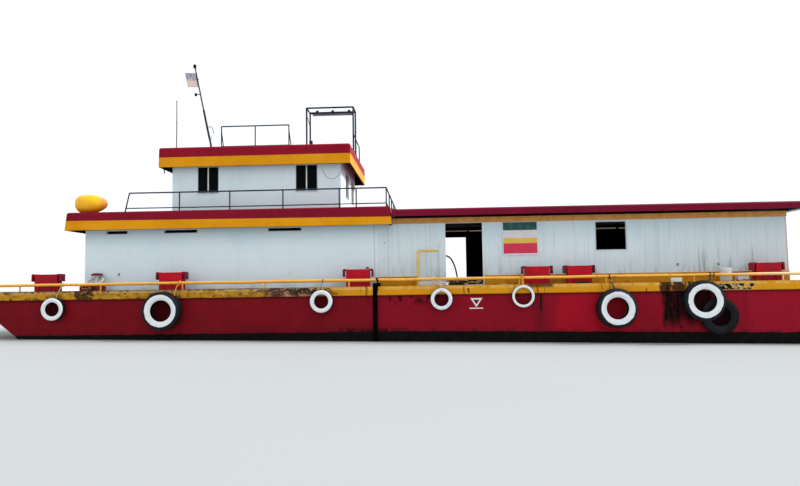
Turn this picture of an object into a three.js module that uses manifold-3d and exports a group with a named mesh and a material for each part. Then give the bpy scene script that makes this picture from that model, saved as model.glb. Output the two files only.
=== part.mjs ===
// River barge: two decked hull blocks with a plate deckhouse, a cargo shed and a raised wheelhouse.
// Millimetres. +X is forward, +Y is port, +Z is up. The origin is under the middle of the flat bottom.

import * as THREE from 'three';
import { mergeVertices } from 'three/addons/utils/BufferGeometryUtils.js';
import Module from 'manifold-3d';

const wasm = await Module();
wasm.setup();

// Driving dimensions

const SEAT = 0.3; // space left between two pieces that touch

const HULL_LENGTH = 29400;
const HULL_BEAM = 7400;
const HULL_DEPTH = 2600;
const RAKE_LENGTH = 2900; // each end rises over this length
const RAKE_TOP = 2300; // height where the rake meets the flat end
const BILGE_RADIUS = 260;
const BLOCK_SEAM = -1700; // where the two hull blocks are coupled
const SEAM_WIDTH = 140;

const BELT_PROUD = 60;
const BELT_BOTTOM = 2330;
const BELT_TOP = 2610;

const HOUSE_HALF_WIDTH = 2800;
const WALL = 80;
const HOUSE_AFT = -11530;
const HOUSE_FORE = -1670;
const SHED_FORE = 11460;
const SHED_WALL_TOP = 4830;

const CABIN_AFT = -8850;
const CABIN_FORE = -2970;
const CABIN_HALF_WIDTH = 2100;
const CABIN_WALL = 60;

const DECK = HULL_DEPTH;
const HALF_LENGTH = HULL_LENGTH / 2;
const HALF_BEAM = HULL_BEAM / 2;

// Roof trays: a plate with a deep edge that flares outwards towards its bottom

const HOUSE_ROOF = {
  aft: -12020,
  fore: -1180,
  half: 3220,
  bottom: 4610,
  top: 5210,
  plate: 100,
  edge: 60,
  flare: 45,
};
const SHED_ROOF = {
  aft: HOUSE_ROOF.fore + SEAT,
  fore: 12000,
  half: 3200,
  bottom: 4870,
  top: 5100,
  plate: 60,
  edge: 45,
  flare: 0,
};
const CABIN_ROOF = {
  aft: -9200,
  fore: -2590,
  half: 2450,
  bottom: 6800,
  top: 7480,
  plate: 100,
  edge: 60,
  flare: 10,
};

const HOUSE_PLATE_UNDER = HOUSE_ROOF.top - HOUSE_ROOF.plate;
const SHED_PLATE_UNDER = SHED_ROOF.top - SHED_ROOF.plate;
const CABIN_PLATE_UNDER = CABIN_ROOF.top - CABIN_ROOF.plate;

// Materials

function paint(color, roughness = 0.6, metalness = 0.1) {
  return new THREE.MeshStandardMaterial({ color, roughness, metalness });
}

const look = {
  topsides: paint(0x7a1620, 0.5),
  belt: paint(0xb97c0f, 0.55),
  wall: paint(0xbcccd4, 0.6),
  roof: paint(0x7d1428, 0.55),
  bollard: paint(0x96141e, 0.5),
  dark: paint(0x2b3038, 0.6),
  rubber: paint(0x17181a, 0.9, 0),
  bronze: paint(0x8c6a3a, 0.35, 0.9),
  white: paint(0xe4e4e0, 0.6, 0),
  yellow: paint(0xc8a028, 0.6, 0),
  cloth: paint(0xa9a6a8, 0.9, 0),
};

// Solids from three.js shapes, joined and cut

function solid(geometry) {
  const bare = geometry.clone();
  bare.deleteAttribute('normal');
  bare.deleteAttribute('uv');
  const merged = mergeVertices(bare, 1e-3);
  const vertProperties = new Float32Array(merged.attributes.position.array);
  const triVerts = new Uint32Array(merged.index.array);
  return new wasm.Manifold(new wasm.Mesh({ numProp: 3, vertProperties, triVerts }));
}

function meshGeometry(body) {
  const { vertProperties, triVerts } = body.getMesh();
  const geometry = new THREE.BufferGeometry();
  geometry.setAttribute('position', new THREE.BufferAttribute(new Float32Array(vertProperties), 3));
  geometry.setIndex(new THREE.BufferAttribute(new Uint32Array(triVerts), 1));
  geometry.computeVertexNormals();
  return geometry;
}

function joined(bodies) {
  return bodies.reduce((whole, next) => whole.add(next));
}

function cut(body, tools) {
  return tools.reduce((rest, tool) => rest.subtract(tool), body);
}

function box([x0, x1], [y0, y1], [z0, z1]) {
  const geometry = new THREE.BoxGeometry(x1 - x0, y1 - y0, z1 - z0);
  geometry.translate((x0 + x1) / 2, (y0 + y1) / 2, (z0 + z1) / 2);
  return solid(geometry);
}

function outline(points) {
  return new THREE.Shape(points.map(([u, v]) => new THREE.Vector2(u, v)));
}

const PLAIN = { bevelEnabled: false, curveSegments: 6 };

// A plan outline (X, Y), carried from z0 to z1
function alongZ(shape, [z0, z1]) {
  const geometry = new THREE.ExtrudeGeometry(shape, { ...PLAIN, depth: z1 - z0 });
  geometry.translate(0, 0, z0);
  return solid(geometry);
}

// A side view outline (X, Z), carried from y0 to y1
function alongY(shape, [y0, y1]) {
  const geometry = new THREE.ExtrudeGeometry(shape, { ...PLAIN, depth: y1 - y0 });
  geometry.rotateX(Math.PI / 2);
  geometry.translate(0, y1, 0);
  return solid(geometry);
}

// An end view outline (Y, Z), carried from x0 to x1
function alongX(shape, [x0, x1]) {
  const geometry = new THREE.ExtrudeGeometry(shape, { ...PLAIN, depth: x1 - x0 });
  const turn = new THREE.Matrix4().makeBasis(
    new THREE.Vector3(0, 1, 0),
    new THREE.Vector3(0, 0, 1),
    new THREE.Vector3(1, 0, 0),
  );
  geometry.applyMatrix4(turn);
  geometry.translate(x0, 0, 0);
  return solid(geometry);
}

function rod(from, to, radius, sides = 8) {
  const start = new THREE.Vector3(...from);
  const end = new THREE.Vector3(...to);
  const run = end.clone().sub(start);
  const geometry = new THREE.CylinderGeometry(radius, radius, run.length(), sides);
  geometry.translate(0, run.length() / 2, 0);
  const turn = new THREE.Quaternion().setFromUnitVectors(new THREE.Vector3(0, 1, 0), run.normalize());
  geometry.applyQuaternion(turn);
  geometry.translate(start.x, start.y, start.z);
  return solid(geometry);
}

function ball(centre, radius) {
  const geometry = new THREE.SphereGeometry(radius, 10, 6);
  geometry.translate(...centre);
  return solid(geometry);
}

function pipe(points, radius, sides) {
  const runs = points.slice(1).map((point, i) => rod(points[i], point, radius, sides));
  const bends = points.slice(1, -1).map((point) => ball(point, radius));
  return joined([...runs, ...bends]);
}

// A hanging cord: a round section carried along a smooth curve through its points
function cord(points, diameter, sides, steps) {
  const angles = Array.from({ length: sides }, (_, i) => (2 * Math.PI * i) / sides);
  const round = outline(angles.map((a) => [(Math.cos(a) * diameter) / 2, (Math.sin(a) * diameter) / 2]));
  const path = new THREE.CatmullRomCurve3(points.map((p) => new THREE.Vector3(...p)));
  return solid(new THREE.ExtrudeGeometry(round, { steps, extrudePath: path, bevelEnabled: false }));
}

const barge = new THREE.Group();

function place(name, body, material, position = [0, 0, 0], rotation = [0, 0, 0]) {
  const mesh = new THREE.Mesh(meshGeometry(body), material);
  mesh.name = name;
  mesh.position.set(...position);
  mesh.rotation.set(...rotation);
  barge.add(mesh);
}

const SIDES = [
  { side: 'starboard', s: -1 },
  { side: 'port', s: 1 },
];

// Two numbers on one side of the centreline, as a rising range
function across(s, inner, outer) {
  return s < 0 ? [-outer, -inner] : [inner, outer];
}

// Hull: a flat-bottomed box with raked ends and rounded bilges, in two coupled blocks

const PROPELLER = {
  x: -13250,
  y: 1500,
  z: 560,
  radius: 420,
  hubRadius: 95,
  hubLength: 260,
  coneLength: 160,
  coneTip: 30,
  blades: 4,
  bladeThick: 22,
  pitch: THREE.MathUtils.degToRad(58),
};
const SHAFT = { radius: 45, end: -12200, boreEnd: -12100 };
const TUBE = { radius: 105, aft: -12860, fore: -11900 };
const FIN = { thick: 40, from: TUBE.aft + 60, to: -12200, lowTop: 1000, highTop: 700 };
const RUDDER = {
  x: -13820,
  stockRadius: 55,
  boreBottom: 1000,
  boreTop: 2100,
  stockTop: 2000,
  bladeTop: 1330,
  bladeBottom: 110,
  nose: 200,
  tail: 620,
  halfThick: 45,
  tailHalf: 8,
};
const RUNNING_GAP = 0.6;

const sideView = outline([
  [-HALF_LENGTH, HULL_DEPTH],
  [-HALF_LENGTH, RAKE_TOP],
  [-HALF_LENGTH + RAKE_LENGTH, 0],
  [HALF_LENGTH - RAKE_LENGTH, 0],
  [HALF_LENGTH, RAKE_TOP],
  [HALF_LENGTH, HULL_DEPTH],
]);

const endView = new THREE.Shape();
endView.moveTo(-HALF_BEAM, HULL_DEPTH);
endView.lineTo(-HALF_BEAM, BILGE_RADIUS);
endView.absarc(-HALF_BEAM + BILGE_RADIUS, BILGE_RADIUS, BILGE_RADIUS, Math.PI, 1.5 * Math.PI, false);
endView.lineTo(HALF_BEAM - BILGE_RADIUS, 0);
endView.absarc(HALF_BEAM - BILGE_RADIUS, BILGE_RADIUS, BILGE_RADIUS, 1.5 * Math.PI, 2 * Math.PI, false);
endView.lineTo(HALF_BEAM, HULL_DEPTH);

const wholeHull = alongY(sideView, [-HALF_BEAM, HALF_BEAM]).intersect(
  alongX(endView, [-HALF_LENGTH, HALF_LENGTH]),
);

const AFT_BLOCK = [-HALF_LENGTH - 200, BLOCK_SEAM - SEAM_WIDTH / 2];
const FORE_BLOCK = [BLOCK_SEAM + SEAM_WIDTH / 2, HALF_LENGTH + 200];
const EVERY_Y = [-HULL_BEAM, HULL_BEAM];
const EVERY_Z = [-100, 20000];

function sternGear(s) {
  const y = s * PROPELLER.y;
  const tube = rod([TUBE.aft, y, PROPELLER.z], [TUBE.fore, y, PROPELLER.z], TUBE.radius, 16);
  const fin = alongY(
    outline([
      [FIN.from, PROPELLER.z],
      [FIN.to, PROPELLER.z],
      [FIN.to, FIN.highTop],
      [FIN.from, FIN.lowTop],
    ]),
    [y - FIN.thick / 2, y + FIN.thick / 2],
  );
  return joined([tube, fin]);
}

function shaftBore(s) {
  const y = s * PROPELLER.y;
  const from = [TUBE.aft - 10, y, PROPELLER.z];
  const to = [SHAFT.boreEnd, y, PROPELLER.z];
  return rod(from, to, SHAFT.radius + RUNNING_GAP, 24);
}

function stockBore(s) {
  const y = s * PROPELLER.y;
  const from = [RUDDER.x, y, RUDDER.boreBottom];
  const to = [RUDDER.x, y, RUDDER.boreTop];
  return rod(from, to, RUDDER.stockRadius + RUNNING_GAP, 24);
}

const aftBlock = wholeHull.intersect(box(AFT_BLOCK, EVERY_Y, EVERY_Z));
const foreBlock = wholeHull.intersect(box(FORE_BLOCK, EVERY_Y, EVERY_Z));

const bores = SIDES.flatMap(({ s }) => [shaftBore(s), stockBore(s)]);
place('hull_aft', cut(joined([aftBlock, sternGear(-1), sternGear(1)]), bores), look.topsides);

// The fill pipe that the hose in the shed runs down into
const HOSE_FOOT = { x: 930, y: -2480, top: 2720, radius: 45 };
const fillPipe = rod(
  [HOSE_FOOT.x, HOSE_FOOT.y, DECK - 50],
  [HOSE_FOOT.x, HOSE_FOOT.y, HOSE_FOOT.top],
  HOSE_FOOT.radius,
  12,
);
place('hull_fore', joined([foreBlock, fillPipe]), look.topsides);

const spacerX = [AFT_BLOCK[1] + SEAT, FORE_BLOCK[0] - SEAT];
const COUPLING = { x: [-1740, -1530], y: [3600, 3770], top: 2720 };
const spacer = box(spacerX, [-COUPLING.y[1], COUPLING.y[1]], [0, DECK]);
const couplings = SIDES.flatMap(({ s }) => [
  box(COUPLING.x, across(s, ...COUPLING.y), [BELT_TOP + SEAT, COUPLING.top]),
  box(spacerX, across(s, ...COUPLING.y), [DECK - 50, COUPLING.top]),
]);
place('hull_spacer', joined([spacer, ...couplings]), look.dark);

// Rubbing belts: a proud band round the top of each block

function aroundHull(proud, z) {
  const halfLength = HALF_LENGTH + proud;
  const halfBeam = HALF_BEAM + proud;
  return box([-halfLength, halfLength], [-halfBeam, halfBeam], z);
}

function belt(blockX) {
  const ring = aroundHull(BELT_PROUD, [BELT_BOTTOM, BELT_TOP]).subtract(aroundHull(SEAT, EVERY_Z));
  return ring.intersect(box(blockX, EVERY_Y, EVERY_Z));
}

place('belt_aft', belt(AFT_BLOCK), look.belt);
place('belt_fore', belt(FORE_BLOCK), look.belt);

// Low pipe rails along both deck edges

const RAIL = { y: 3640, z: 2815, radius: 47, postRadius: 25, end: 14450 };
const RAIL_POST = { first: -13210, spacing: 2670, count: 11, ends: 14350 };

for (const { side, s } of SIDES) {
  const y = s * RAIL.y;
  const tube = rod([-RAIL.end, y, RAIL.z], [RAIL.end, y, RAIL.z], RAIL.radius, 8);
  const between = Array.from({ length: RAIL_POST.count }, (_, i) => RAIL_POST.first + i * RAIL_POST.spacing);
  const postsX = [-RAIL_POST.ends, ...between, RAIL_POST.ends];
  const posts = postsX.map((x) => rod([x, y, DECK + SEAT], [x, y, RAIL.z], RAIL.postRadius, 6));
  place(`deck_rail_${side}`, joined([tube, ...posts]), look.belt);
}

// Aft house walls. Columns: from x, to x, from z, to z

const HOUSE_SLOTS = [
  [-10800, -10090, 4500, 4600],
  [-8825, -7715, 4500, 4600],
  [-5315, -4215, 4500, 4600],
];
const STERN_DOORWAY = { y: [1200, 2000], z: [2720, 4560] };
const BULKHEAD_DOORWAY = { y: [-400, 400], z: [2720, 4560] };

function holes(rows, y) {
  return rows.map(([x0, x1, z0, z1]) => box([x0, x1], y, [z0, z1]));
}

const houseZ = [DECK + SEAT, HOUSE_PLATE_UNDER - SEAT];
const innerHalf = HOUSE_HALF_WIDTH - WALL - SEAT;

for (const { side, s } of SIDES) {
  const y = across(s, HOUSE_HALF_WIDTH - WALL, HOUSE_HALF_WIDTH);
  const plate = box([HOUSE_AFT, HOUSE_FORE - SEAT], y, houseZ);
  place(`house_wall_${side}`, cut(plate, holes(HOUSE_SLOTS, EVERY_Y)), look.wall);
}

// A hinged leaf on the aft face of a wall: lugs on the wall, eyes on the leaf between them
const LEAF = {
  thick: 40,
  clear: 6,
  lap: 40,
  edge: 40,
  eye: 20,
  eyeHeight: 80,
  eyeWeb: 16,
  lug: 18,
  hingeInset: 250,
};
const HANDLE = { height: 780, from: 60, to: 200, standOff: 50, radius: 12 };

function hingeHeights([z0, z1]) {
  return [z0 + LEAF.hingeInset, z1 - LEAF.hingeInset];
}

function hingeAxis(wallX, doorway) {
  return { x: wallX - LEAF.clear - LEAF.thick / 2, y: doorway.y[1] + LEAF.lap + LEAF.edge };
}

function hingeLugs(wallX, doorway) {
  const axis = hingeAxis(wallX, doorway);
  const half = LEAF.eyeHeight / 2 + SEAT;
  const x = [axis.x - LEAF.eye, wallX + 5];
  const y = [axis.y - LEAF.eye, axis.y + LEAF.eye];
  const starts = hingeHeights(doorway.z).flatMap((z) => [z - half - LEAF.lug, z + half]);
  return starts.map((z0) => box(x, y, [z0, z0 + LEAF.lug]));
}

function hingedLeaf(wallX, doorway) {
  const axis = hingeAxis(wallX, doorway);
  const x = [axis.x - LEAF.thick / 2, axis.x + LEAF.thick / 2];
  const z = [doorway.z[0] - LEAF.lap, doorway.z[1] + LEAF.lap];
  const panel = box(x, [doorway.y[0] - LEAF.lap, axis.y - LEAF.edge], z);
  const eyes = hingeHeights(doorway.z).flatMap((height) => {
    const z0 = height - LEAF.eyeHeight / 2;
    const z1 = height + LEAF.eyeHeight / 2;
    return [
      rod([axis.x, axis.y, z0], [axis.x, axis.y, z1], LEAF.eye, 16),
      box([axis.x - LEAF.eyeWeb / 2, axis.x + LEAF.eyeWeb / 2], [axis.y - LEAF.edge - 5, axis.y], [z0, z1]),
    ];
  });
  const handleZ = doorway.z[0] + HANDLE.height;
  const handle = pipe(
    [
      [x[0] + 5, doorway.y[0] + HANDLE.from, handleZ],
      [x[0] - HANDLE.standOff, doorway.y[0] + HANDLE.from, handleZ],
      [x[0] - HANDLE.standOff, doorway.y[0] + HANDLE.to, handleZ],
    ],
    HANDLE.radius,
    8,
  );
  return joined([panel, ...eyes, handle]);
}

function endWall(x, half, z, doorway) {
  const plate = box(x, [-half, half], z);
  return doorway ? plate.subtract(box([x[0] - 50, x[1] + 50], doorway.y, doorway.z)) : plate;
}

const sternWall = endWall([HOUSE_AFT, HOUSE_AFT + WALL], innerHalf, houseZ, STERN_DOORWAY);
place('house_wall_aft', joined([sternWall, ...hingeLugs(HOUSE_AFT, STERN_DOORWAY)]), look.wall);
place('house_door', hingedLeaf(HOUSE_AFT, STERN_DOORWAY), look.wall);
const bulkhead = endWall([HOUSE_FORE - WALL, HOUSE_FORE - SEAT], innerHalf, houseZ, BULKHEAD_DOORWAY);
place('house_bulkhead', bulkhead, look.wall);

// Cargo shed walls of ribbed sheet: coaming at the foot, board at the head, short posts up to the roof

const COAMING = { top: 2920, proud: 40 };
const BOARD = { bottom: 4655, proud: 40 };
const SHED_DOORS = {
  starboard: { x: [555, 1754], z: [2640, 4640] },
  port: { x: [555, 1525], z: [2640, 4595] },
};
const SHED_WINDOW = { x: [5420, 6380], z: [3690, 4590] };
// Columns: from x, to x
const COAMINGS = [
  [-1660, -370],
  [1800, SHED_FORE],
];
const HEAD_POST = { first: -440, spacing: 2030, count: 6, width: 80 };
const WALL_RIB = { first: -1300, pitch: 320, count: 40, foot: 130, crest: 70, proud: 10 };
const HOSE_OUTLET = { x: 430, end: 500, z: 3590, radius: 34 };

function wallRibs(s) {
  const face = s * (HOUSE_HALF_WIDTH - 5);
  const crest = s * (HOUSE_HALF_WIDTH + WALL_RIB.proud);
  return Array.from({ length: WALL_RIB.count }, (_, i) => {
    const x = WALL_RIB.first + i * WALL_RIB.pitch;
    const plan = [
      [x - WALL_RIB.foot / 2, face],
      [x + WALL_RIB.foot / 2, face],
      [x + WALL_RIB.crest / 2, crest],
      [x - WALL_RIB.crest / 2, crest],
    ];
    return alongZ(outline(plan), [COAMING.top - 5, BOARD.bottom + 5]);
  });
}

for (const { side, s } of SIDES) {
  const yWall = across(s, HOUSE_HALF_WIDTH - WALL, HOUSE_HALF_WIDTH);
  const yProud = across(s, HOUSE_HALF_WIDTH - WALL, HOUSE_HALF_WIDTH + COAMING.proud);
  const wall = box([HOUSE_FORE, SHED_FORE], yWall, [DECK + SEAT, SHED_WALL_TOP]);
  const coamings = COAMINGS.map((x) => box(x, yProud, [DECK + SEAT, COAMING.top]));
  const board = box([HOUSE_ROOF.fore + 20, SHED_FORE], yProud, [BOARD.bottom, SHED_WALL_TOP]);
  const headPosts = Array.from({ length: HEAD_POST.count }, (_, i) => {
    const x = HEAD_POST.first + i * HEAD_POST.spacing;
    return box([x, x + HEAD_POST.width], yWall, [SHED_WALL_TOP - 50, SHED_PLATE_UNDER - SEAT]);
  });
  const openings = [SHED_DOORS[side], SHED_WINDOW].map(({ x, z }) => box(x, EVERY_Y, z));
  const shell = cut(joined([wall, ...coamings, board, ...headPosts, ...wallRibs(s)]), openings);
  // Hose outlet: an elbow on the inner face beside the starboard doorway
  const outlet = pipe(
    [
      [HOSE_OUTLET.x, -HOUSE_HALF_WIDTH + WALL - 10, HOSE_OUTLET.z],
      [HOSE_OUTLET.x, HOSE_FOOT.y, HOSE_OUTLET.z],
      [HOSE_OUTLET.end, HOSE_FOOT.y, HOSE_OUTLET.z],
    ],
    HOSE_OUTLET.radius,
    10,
  );
  place(`shed_wall_${side}`, s < 0 ? joined([shell, outlet]) : shell, look.wall);
}

const shedForeX = [SHED_FORE - WALL, SHED_FORE];
const shedForeWall = endWall(shedForeX, innerHalf, [DECK + SEAT, SHED_WALL_TOP]);
place('shed_wall_fore', shedForeWall, look.wall);

// Roofs

const ROOF_ROUND = 40;

function trayOutline(low, high, flare, bottom, top) {
  const round = Math.min(ROOF_ROUND, (top - bottom) / 5);
  return outline([
    [low, bottom],
    [high, bottom],
    [high - flare, top - round],
    [high - flare - round, top],
    [low + flare + round, top],
    [low + flare, top - round],
  ]);
}

function roofTray({ aft, fore, half, bottom, top, plate, edge, flare }) {
  const outer = alongY(trayOutline(aft, fore, flare, bottom, top), [-half, half]).intersect(
    alongX(trayOutline(-half, half, flare, bottom, top), [aft, fore]),
  );
  const inset = edge + flare;
  const hollow = box([aft + inset, fore - inset], [-half + inset, half - inset], [bottom - 10, top - plate]);
  return outer.subtract(hollow);
}

// The shed's walls and boards pass under the forward edge of the house roof
const PASSAGE_CLEAR = 10;
const shedPassage = box(
  [HOUSE_ROOF.fore - HOUSE_ROOF.edge - HOUSE_ROOF.flare - PASSAGE_CLEAR, HOUSE_ROOF.fore + PASSAGE_CLEAR],
  [-HOUSE_HALF_WIDTH - BOARD.proud - PASSAGE_CLEAR, HOUSE_HALF_WIDTH + BOARD.proud + PASSAGE_CLEAR],
  [HOUSE_ROOF.bottom - PASSAGE_CLEAR, SHED_WALL_TOP + PASSAGE_CLEAR],
);
place('house_roof', roofTray(HOUSE_ROOF).subtract(shedPassage), look.roof);

// Ribs of the roof sheet, across the shed
const ROOF_RIB = { first: -960, pitch: 400, count: 33, foot: 110, crest: 60, high: 28, half: 2900 };
const roofRibs = Array.from({ length: ROOF_RIB.count }, (_, i) => {
  const x = ROOF_RIB.first + i * ROOF_RIB.pitch;
  const side = [
    [x - ROOF_RIB.foot / 2, SHED_ROOF.top - 5],
    [x + ROOF_RIB.foot / 2, SHED_ROOF.top - 5],
    [x + ROOF_RIB.crest / 2, SHED_ROOF.top + ROOF_RIB.high],
    [x - ROOF_RIB.crest / 2, SHED_ROOF.top + ROOF_RIB.high],
  ];
  return alongY(outline(side), [-ROOF_RIB.half, ROOF_RIB.half]);
});
place('shed_roof', joined([roofTray(SHED_ROOF), ...roofRibs]), look.roof);

// Wheelhouse

// Columns: from x, to x, from z, to z
const CABIN_SIDE_WINDOWS = [
  [-7960, -7220, 5920, 6840],
  [-4535, -3775, 5920, 6840],
];
// Columns: from y, to y, from z, to z
const CABIN_FRONT_WINDOWS = [
  [-800, 0, 5870, 6750],
  [850, 1600, 5870, 6750],
];
const CABIN_DOORWAY = { y: [-350, 350], z: [5320, 6740] };
const cabinZ = [HOUSE_ROOF.top + SEAT, CABIN_PLATE_UNDER - SEAT];
const cabinInner = CABIN_HALF_WIDTH - CABIN_WALL - SEAT;

for (const { side, s } of SIDES) {
  const y = across(s, CABIN_HALF_WIDTH - CABIN_WALL, CABIN_HALF_WIDTH);
  const plate = box([CABIN_AFT, CABIN_FORE], y, cabinZ);
  place(`wheelhouse_wall_${side}`, cut(plate, holes(CABIN_SIDE_WINDOWS, EVERY_Y)), look.wall);
}
const frontPlate = box([CABIN_FORE - CABIN_WALL, CABIN_FORE], [-cabinInner, cabinInner], cabinZ);
const throughFront = [CABIN_FORE - 2 * CABIN_WALL, CABIN_FORE + CABIN_WALL];
const frontHoles = CABIN_FRONT_WINDOWS.map(([y0, y1, z0, z1]) => box(throughFront, [y0, y1], [z0, z1]));
place('wheelhouse_wall_fore', cut(frontPlate, frontHoles), look.wall);
const cabinAftWall = endWall([CABIN_AFT, CABIN_AFT + CABIN_WALL], cabinInner, cabinZ, CABIN_DOORWAY);
place('wheelhouse_wall_aft', joined([cabinAftWall, ...hingeLugs(CABIN_AFT, CABIN_DOORWAY)]), look.wall);
place('wheelhouse_door', hingedLeaf(CABIN_AFT, CABIN_DOORWAY), look.wall);

// Cable glands under the wheelhouse eave
const CABLE = { y: -2420, from: -3583, to: -2864, glandRadius: 16, glandTop: 10, glandDrop: 25 };
const glands = [CABLE.from, CABLE.to].map((x) =>
  rod(
    [x, CABLE.y, CABIN_ROOF.bottom + CABLE.glandTop],
    [x, CABLE.y, CABIN_ROOF.bottom - CABLE.glandDrop],
    CABLE.glandRadius,
    10,
  ),
);
place('wheelhouse_roof', joined([roofTray(CABIN_ROOF), ...glands]), look.roof);

// Railings on the roofs

const ROOF_RAIL = {
  y: 2950,
  top: 5850,
  low: 5340,
  radius: 24,
  lowRadius: 19,
  postRadius: 22,
  aftLean: 145,
  fore: -1360,
  forePosts: [-1350, 0, 1350],
  foreGap: 25,
};
const ROOF_POSTS = [-9965, -8265, -6565, -4785, -2910, -2350];

// The aft post leans: its foot lies further aft than its top, and is lifted so that its tilted end clears the roof
function railRun(points, base, { top, low, radius, lowRadius, postRadius, aftLean = 0 }) {
  const first = points[0];
  const last = points[points.length - 1];
  const tilt = Math.atan2(aftLean, top - base);
  const posts = points.map(([x, y], i) => {
    const lean = i === 0 ? aftLean : 0;
    const lift = i === 0 ? postRadius * Math.sin(tilt) : 0;
    return rod([x - lean, y, base + SEAT + lift], [x, y, top], postRadius, 6);
  });
  const lowAft = first[0] - (aftLean * (top - low)) / (top - base);
  const topBar = rod([...first, top], [...last, top], radius, 8);
  const lowBar = rod([lowAft, first[1], low], [...last, low], lowRadius, 6);
  return joined([topBar, lowBar, ...posts]);
}

for (const { side, s } of SIDES) {
  const y = s * ROOF_RAIL.y;
  const points = [...ROOF_POSTS, ROOF_RAIL.fore].map((x) => [x, y]);
  place(`roof_rail_${side}`, railRun(points, HOUSE_ROOF.top, ROOF_RAIL), look.dark);
}

// The run across the fore end meets the side rails' end posts
const foreHalf = ROOF_RAIL.y - ROOF_RAIL.foreGap;
function acrossRoof(z, radius) {
  return rod([ROOF_RAIL.fore, -foreHalf, z], [ROOF_RAIL.fore, foreHalf, z], radius, 8);
}

const foreBars = [
  acrossRoof(ROOF_RAIL.top, ROOF_RAIL.radius),
  acrossRoof(ROOF_RAIL.low, ROOF_RAIL.lowRadius),
];
const forePosts = ROOF_RAIL.forePosts.map((y) =>
  rod(
    [ROOF_RAIL.fore, y, HOUSE_ROOF.top + SEAT],
    [ROOF_RAIL.fore, y, ROOF_RAIL.top],
    ROOF_RAIL.postRadius,
    6,
  ),
);
place('roof_rail_fore', joined([...foreBars, ...forePosts]), look.dark);

// On the wheelhouse roof the low bar lies just over the plate, and a strut leans on each end post
const CABIN_RAIL = {
  y: 2250,
  top: 8210,
  low: CABIN_ROOF.top + 30,
  radius: 22,
  lowRadius: 17,
  postRadius: 20,
  strutTop: 8040,
  strutFoot: 70,
};
const CABIN_POSTS = [-7080, -5900, -4730];

for (const { side, s } of SIDES) {
  const y = s * CABIN_RAIL.y;
  const points = CABIN_POSTS.map((x) => [x, y]);
  const struts = [CABIN_POSTS[0], CABIN_POSTS[2]].map((x) =>
    rod([x + CABIN_RAIL.strutFoot, y, CABIN_RAIL.low], [x, y, CABIN_RAIL.strutTop], CABIN_RAIL.lowRadius, 6),
  );
  const run = railRun(points, CABIN_ROOF.top, CABIN_RAIL);
  place(`wheelhouse_rail_${side}`, joined([run, ...struts]), look.dark);
}

// Lamp frame, mast and aerial on the wheelhouse roof

const FRAME = { aft: -4350, fore: -2650, near: -1000, far: -300, top: 9130, radius: 31, farRadius: 42 };
const FRAME_LAMP = { x: [-4080, -3500, -2880], below: 30, above: 90, radius: 55 };
const BRACE = { x: -2440, top: 8150, bend: 7620, end: 7130, radius: 20 };
const frameLegs = [FRAME.aft, FRAME.fore].flatMap((x) =>
  [FRAME.near, FRAME.far].map((y) => rod([x, y, CABIN_ROOF.top + SEAT], [x, y, FRAME.top], FRAME.radius, 8)),
);
const frameBars = [
  rod([FRAME.aft, FRAME.near, FRAME.top], [FRAME.fore, FRAME.near, FRAME.top], FRAME.radius, 8),
  rod([FRAME.aft, FRAME.far, FRAME.top], [FRAME.fore, FRAME.far, FRAME.top], FRAME.farRadius, 8),
  rod([FRAME.aft, FRAME.near, FRAME.top], [FRAME.aft, FRAME.far, FRAME.top], FRAME.radius, 8),
  rod([FRAME.fore, FRAME.near, FRAME.top], [FRAME.fore, FRAME.far, FRAME.top], FRAME.radius, 8),
];
const frameLamps = FRAME_LAMP.x.map((x) => {
  const from = [x, FRAME.far, FRAME.top - FRAME_LAMP.below];
  const to = [x, FRAME.far, FRAME.top + FRAME_LAMP.above];
  return rod(from, to, FRAME_LAMP.radius, 10);
});
const frameBrace = pipe(
  [
    [FRAME.fore, FRAME.near, BRACE.top],
    [BRACE.x, FRAME.near, BRACE.bend],
    [BRACE.x, FRAME.near, BRACE.end],
  ],
  BRACE.radius,
  8,
);
place('lamp_frame', joined([...frameLegs, ...frameBars, ...frameLamps, frameBrace]), look.dark);

const MAST = {
  y: -900,
  footX: -7830,
  topX: -8540,
  topZ: 10890,
  joint: 9200,
  footRadius: 36,
  topRadius: 24,
  plate: 240,
  plateThick: 60,
  ballRadius: 70,
};
const MAST_LAMP = { z: 9790, reach: -175, armRadius: 18, radius: 55 };
const mastFoot = new THREE.Vector3(MAST.footX, MAST.y, CABIN_ROOF.top + SEAT);
const mastTop = new THREE.Vector3(MAST.topX, MAST.y, MAST.topZ);
function mastPoint(z) {
  const t = (z - mastFoot.z) / (mastTop.z - mastFoot.z);
  return mastFoot.clone().lerp(mastTop, t).toArray();
}
const mastPlate = box(
  [MAST.footX - MAST.plate / 2, MAST.footX + MAST.plate / 2],
  [MAST.y - MAST.plate / 2, MAST.y + MAST.plate / 2],
  [CABIN_ROOF.top + SEAT, CABIN_ROOF.top + MAST.plateThick],
);
const mastLower = rod(mastPoint(CABIN_ROOF.top + 35), mastPoint(MAST.joint), MAST.footRadius, 10);
const mastUpper = rod(mastPoint(MAST.joint - 50), mastPoint(MAST.topZ), MAST.topRadius, 10);
const lampArm = mastPoint(MAST_LAMP.z);
const lampEnd = [lampArm[0] + MAST_LAMP.reach, MAST.y, MAST_LAMP.z];
const mastLamps = [
  ball(mastPoint(MAST.topZ - 30), MAST.ballRadius),
  rod(lampArm, lampEnd, MAST_LAMP.armRadius, 8),
  ball(lampEnd, MAST_LAMP.radius),
];
place('mast', joined([mastPlate, mastLower, mastUpper, ...mastLamps]), look.dark);

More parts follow.
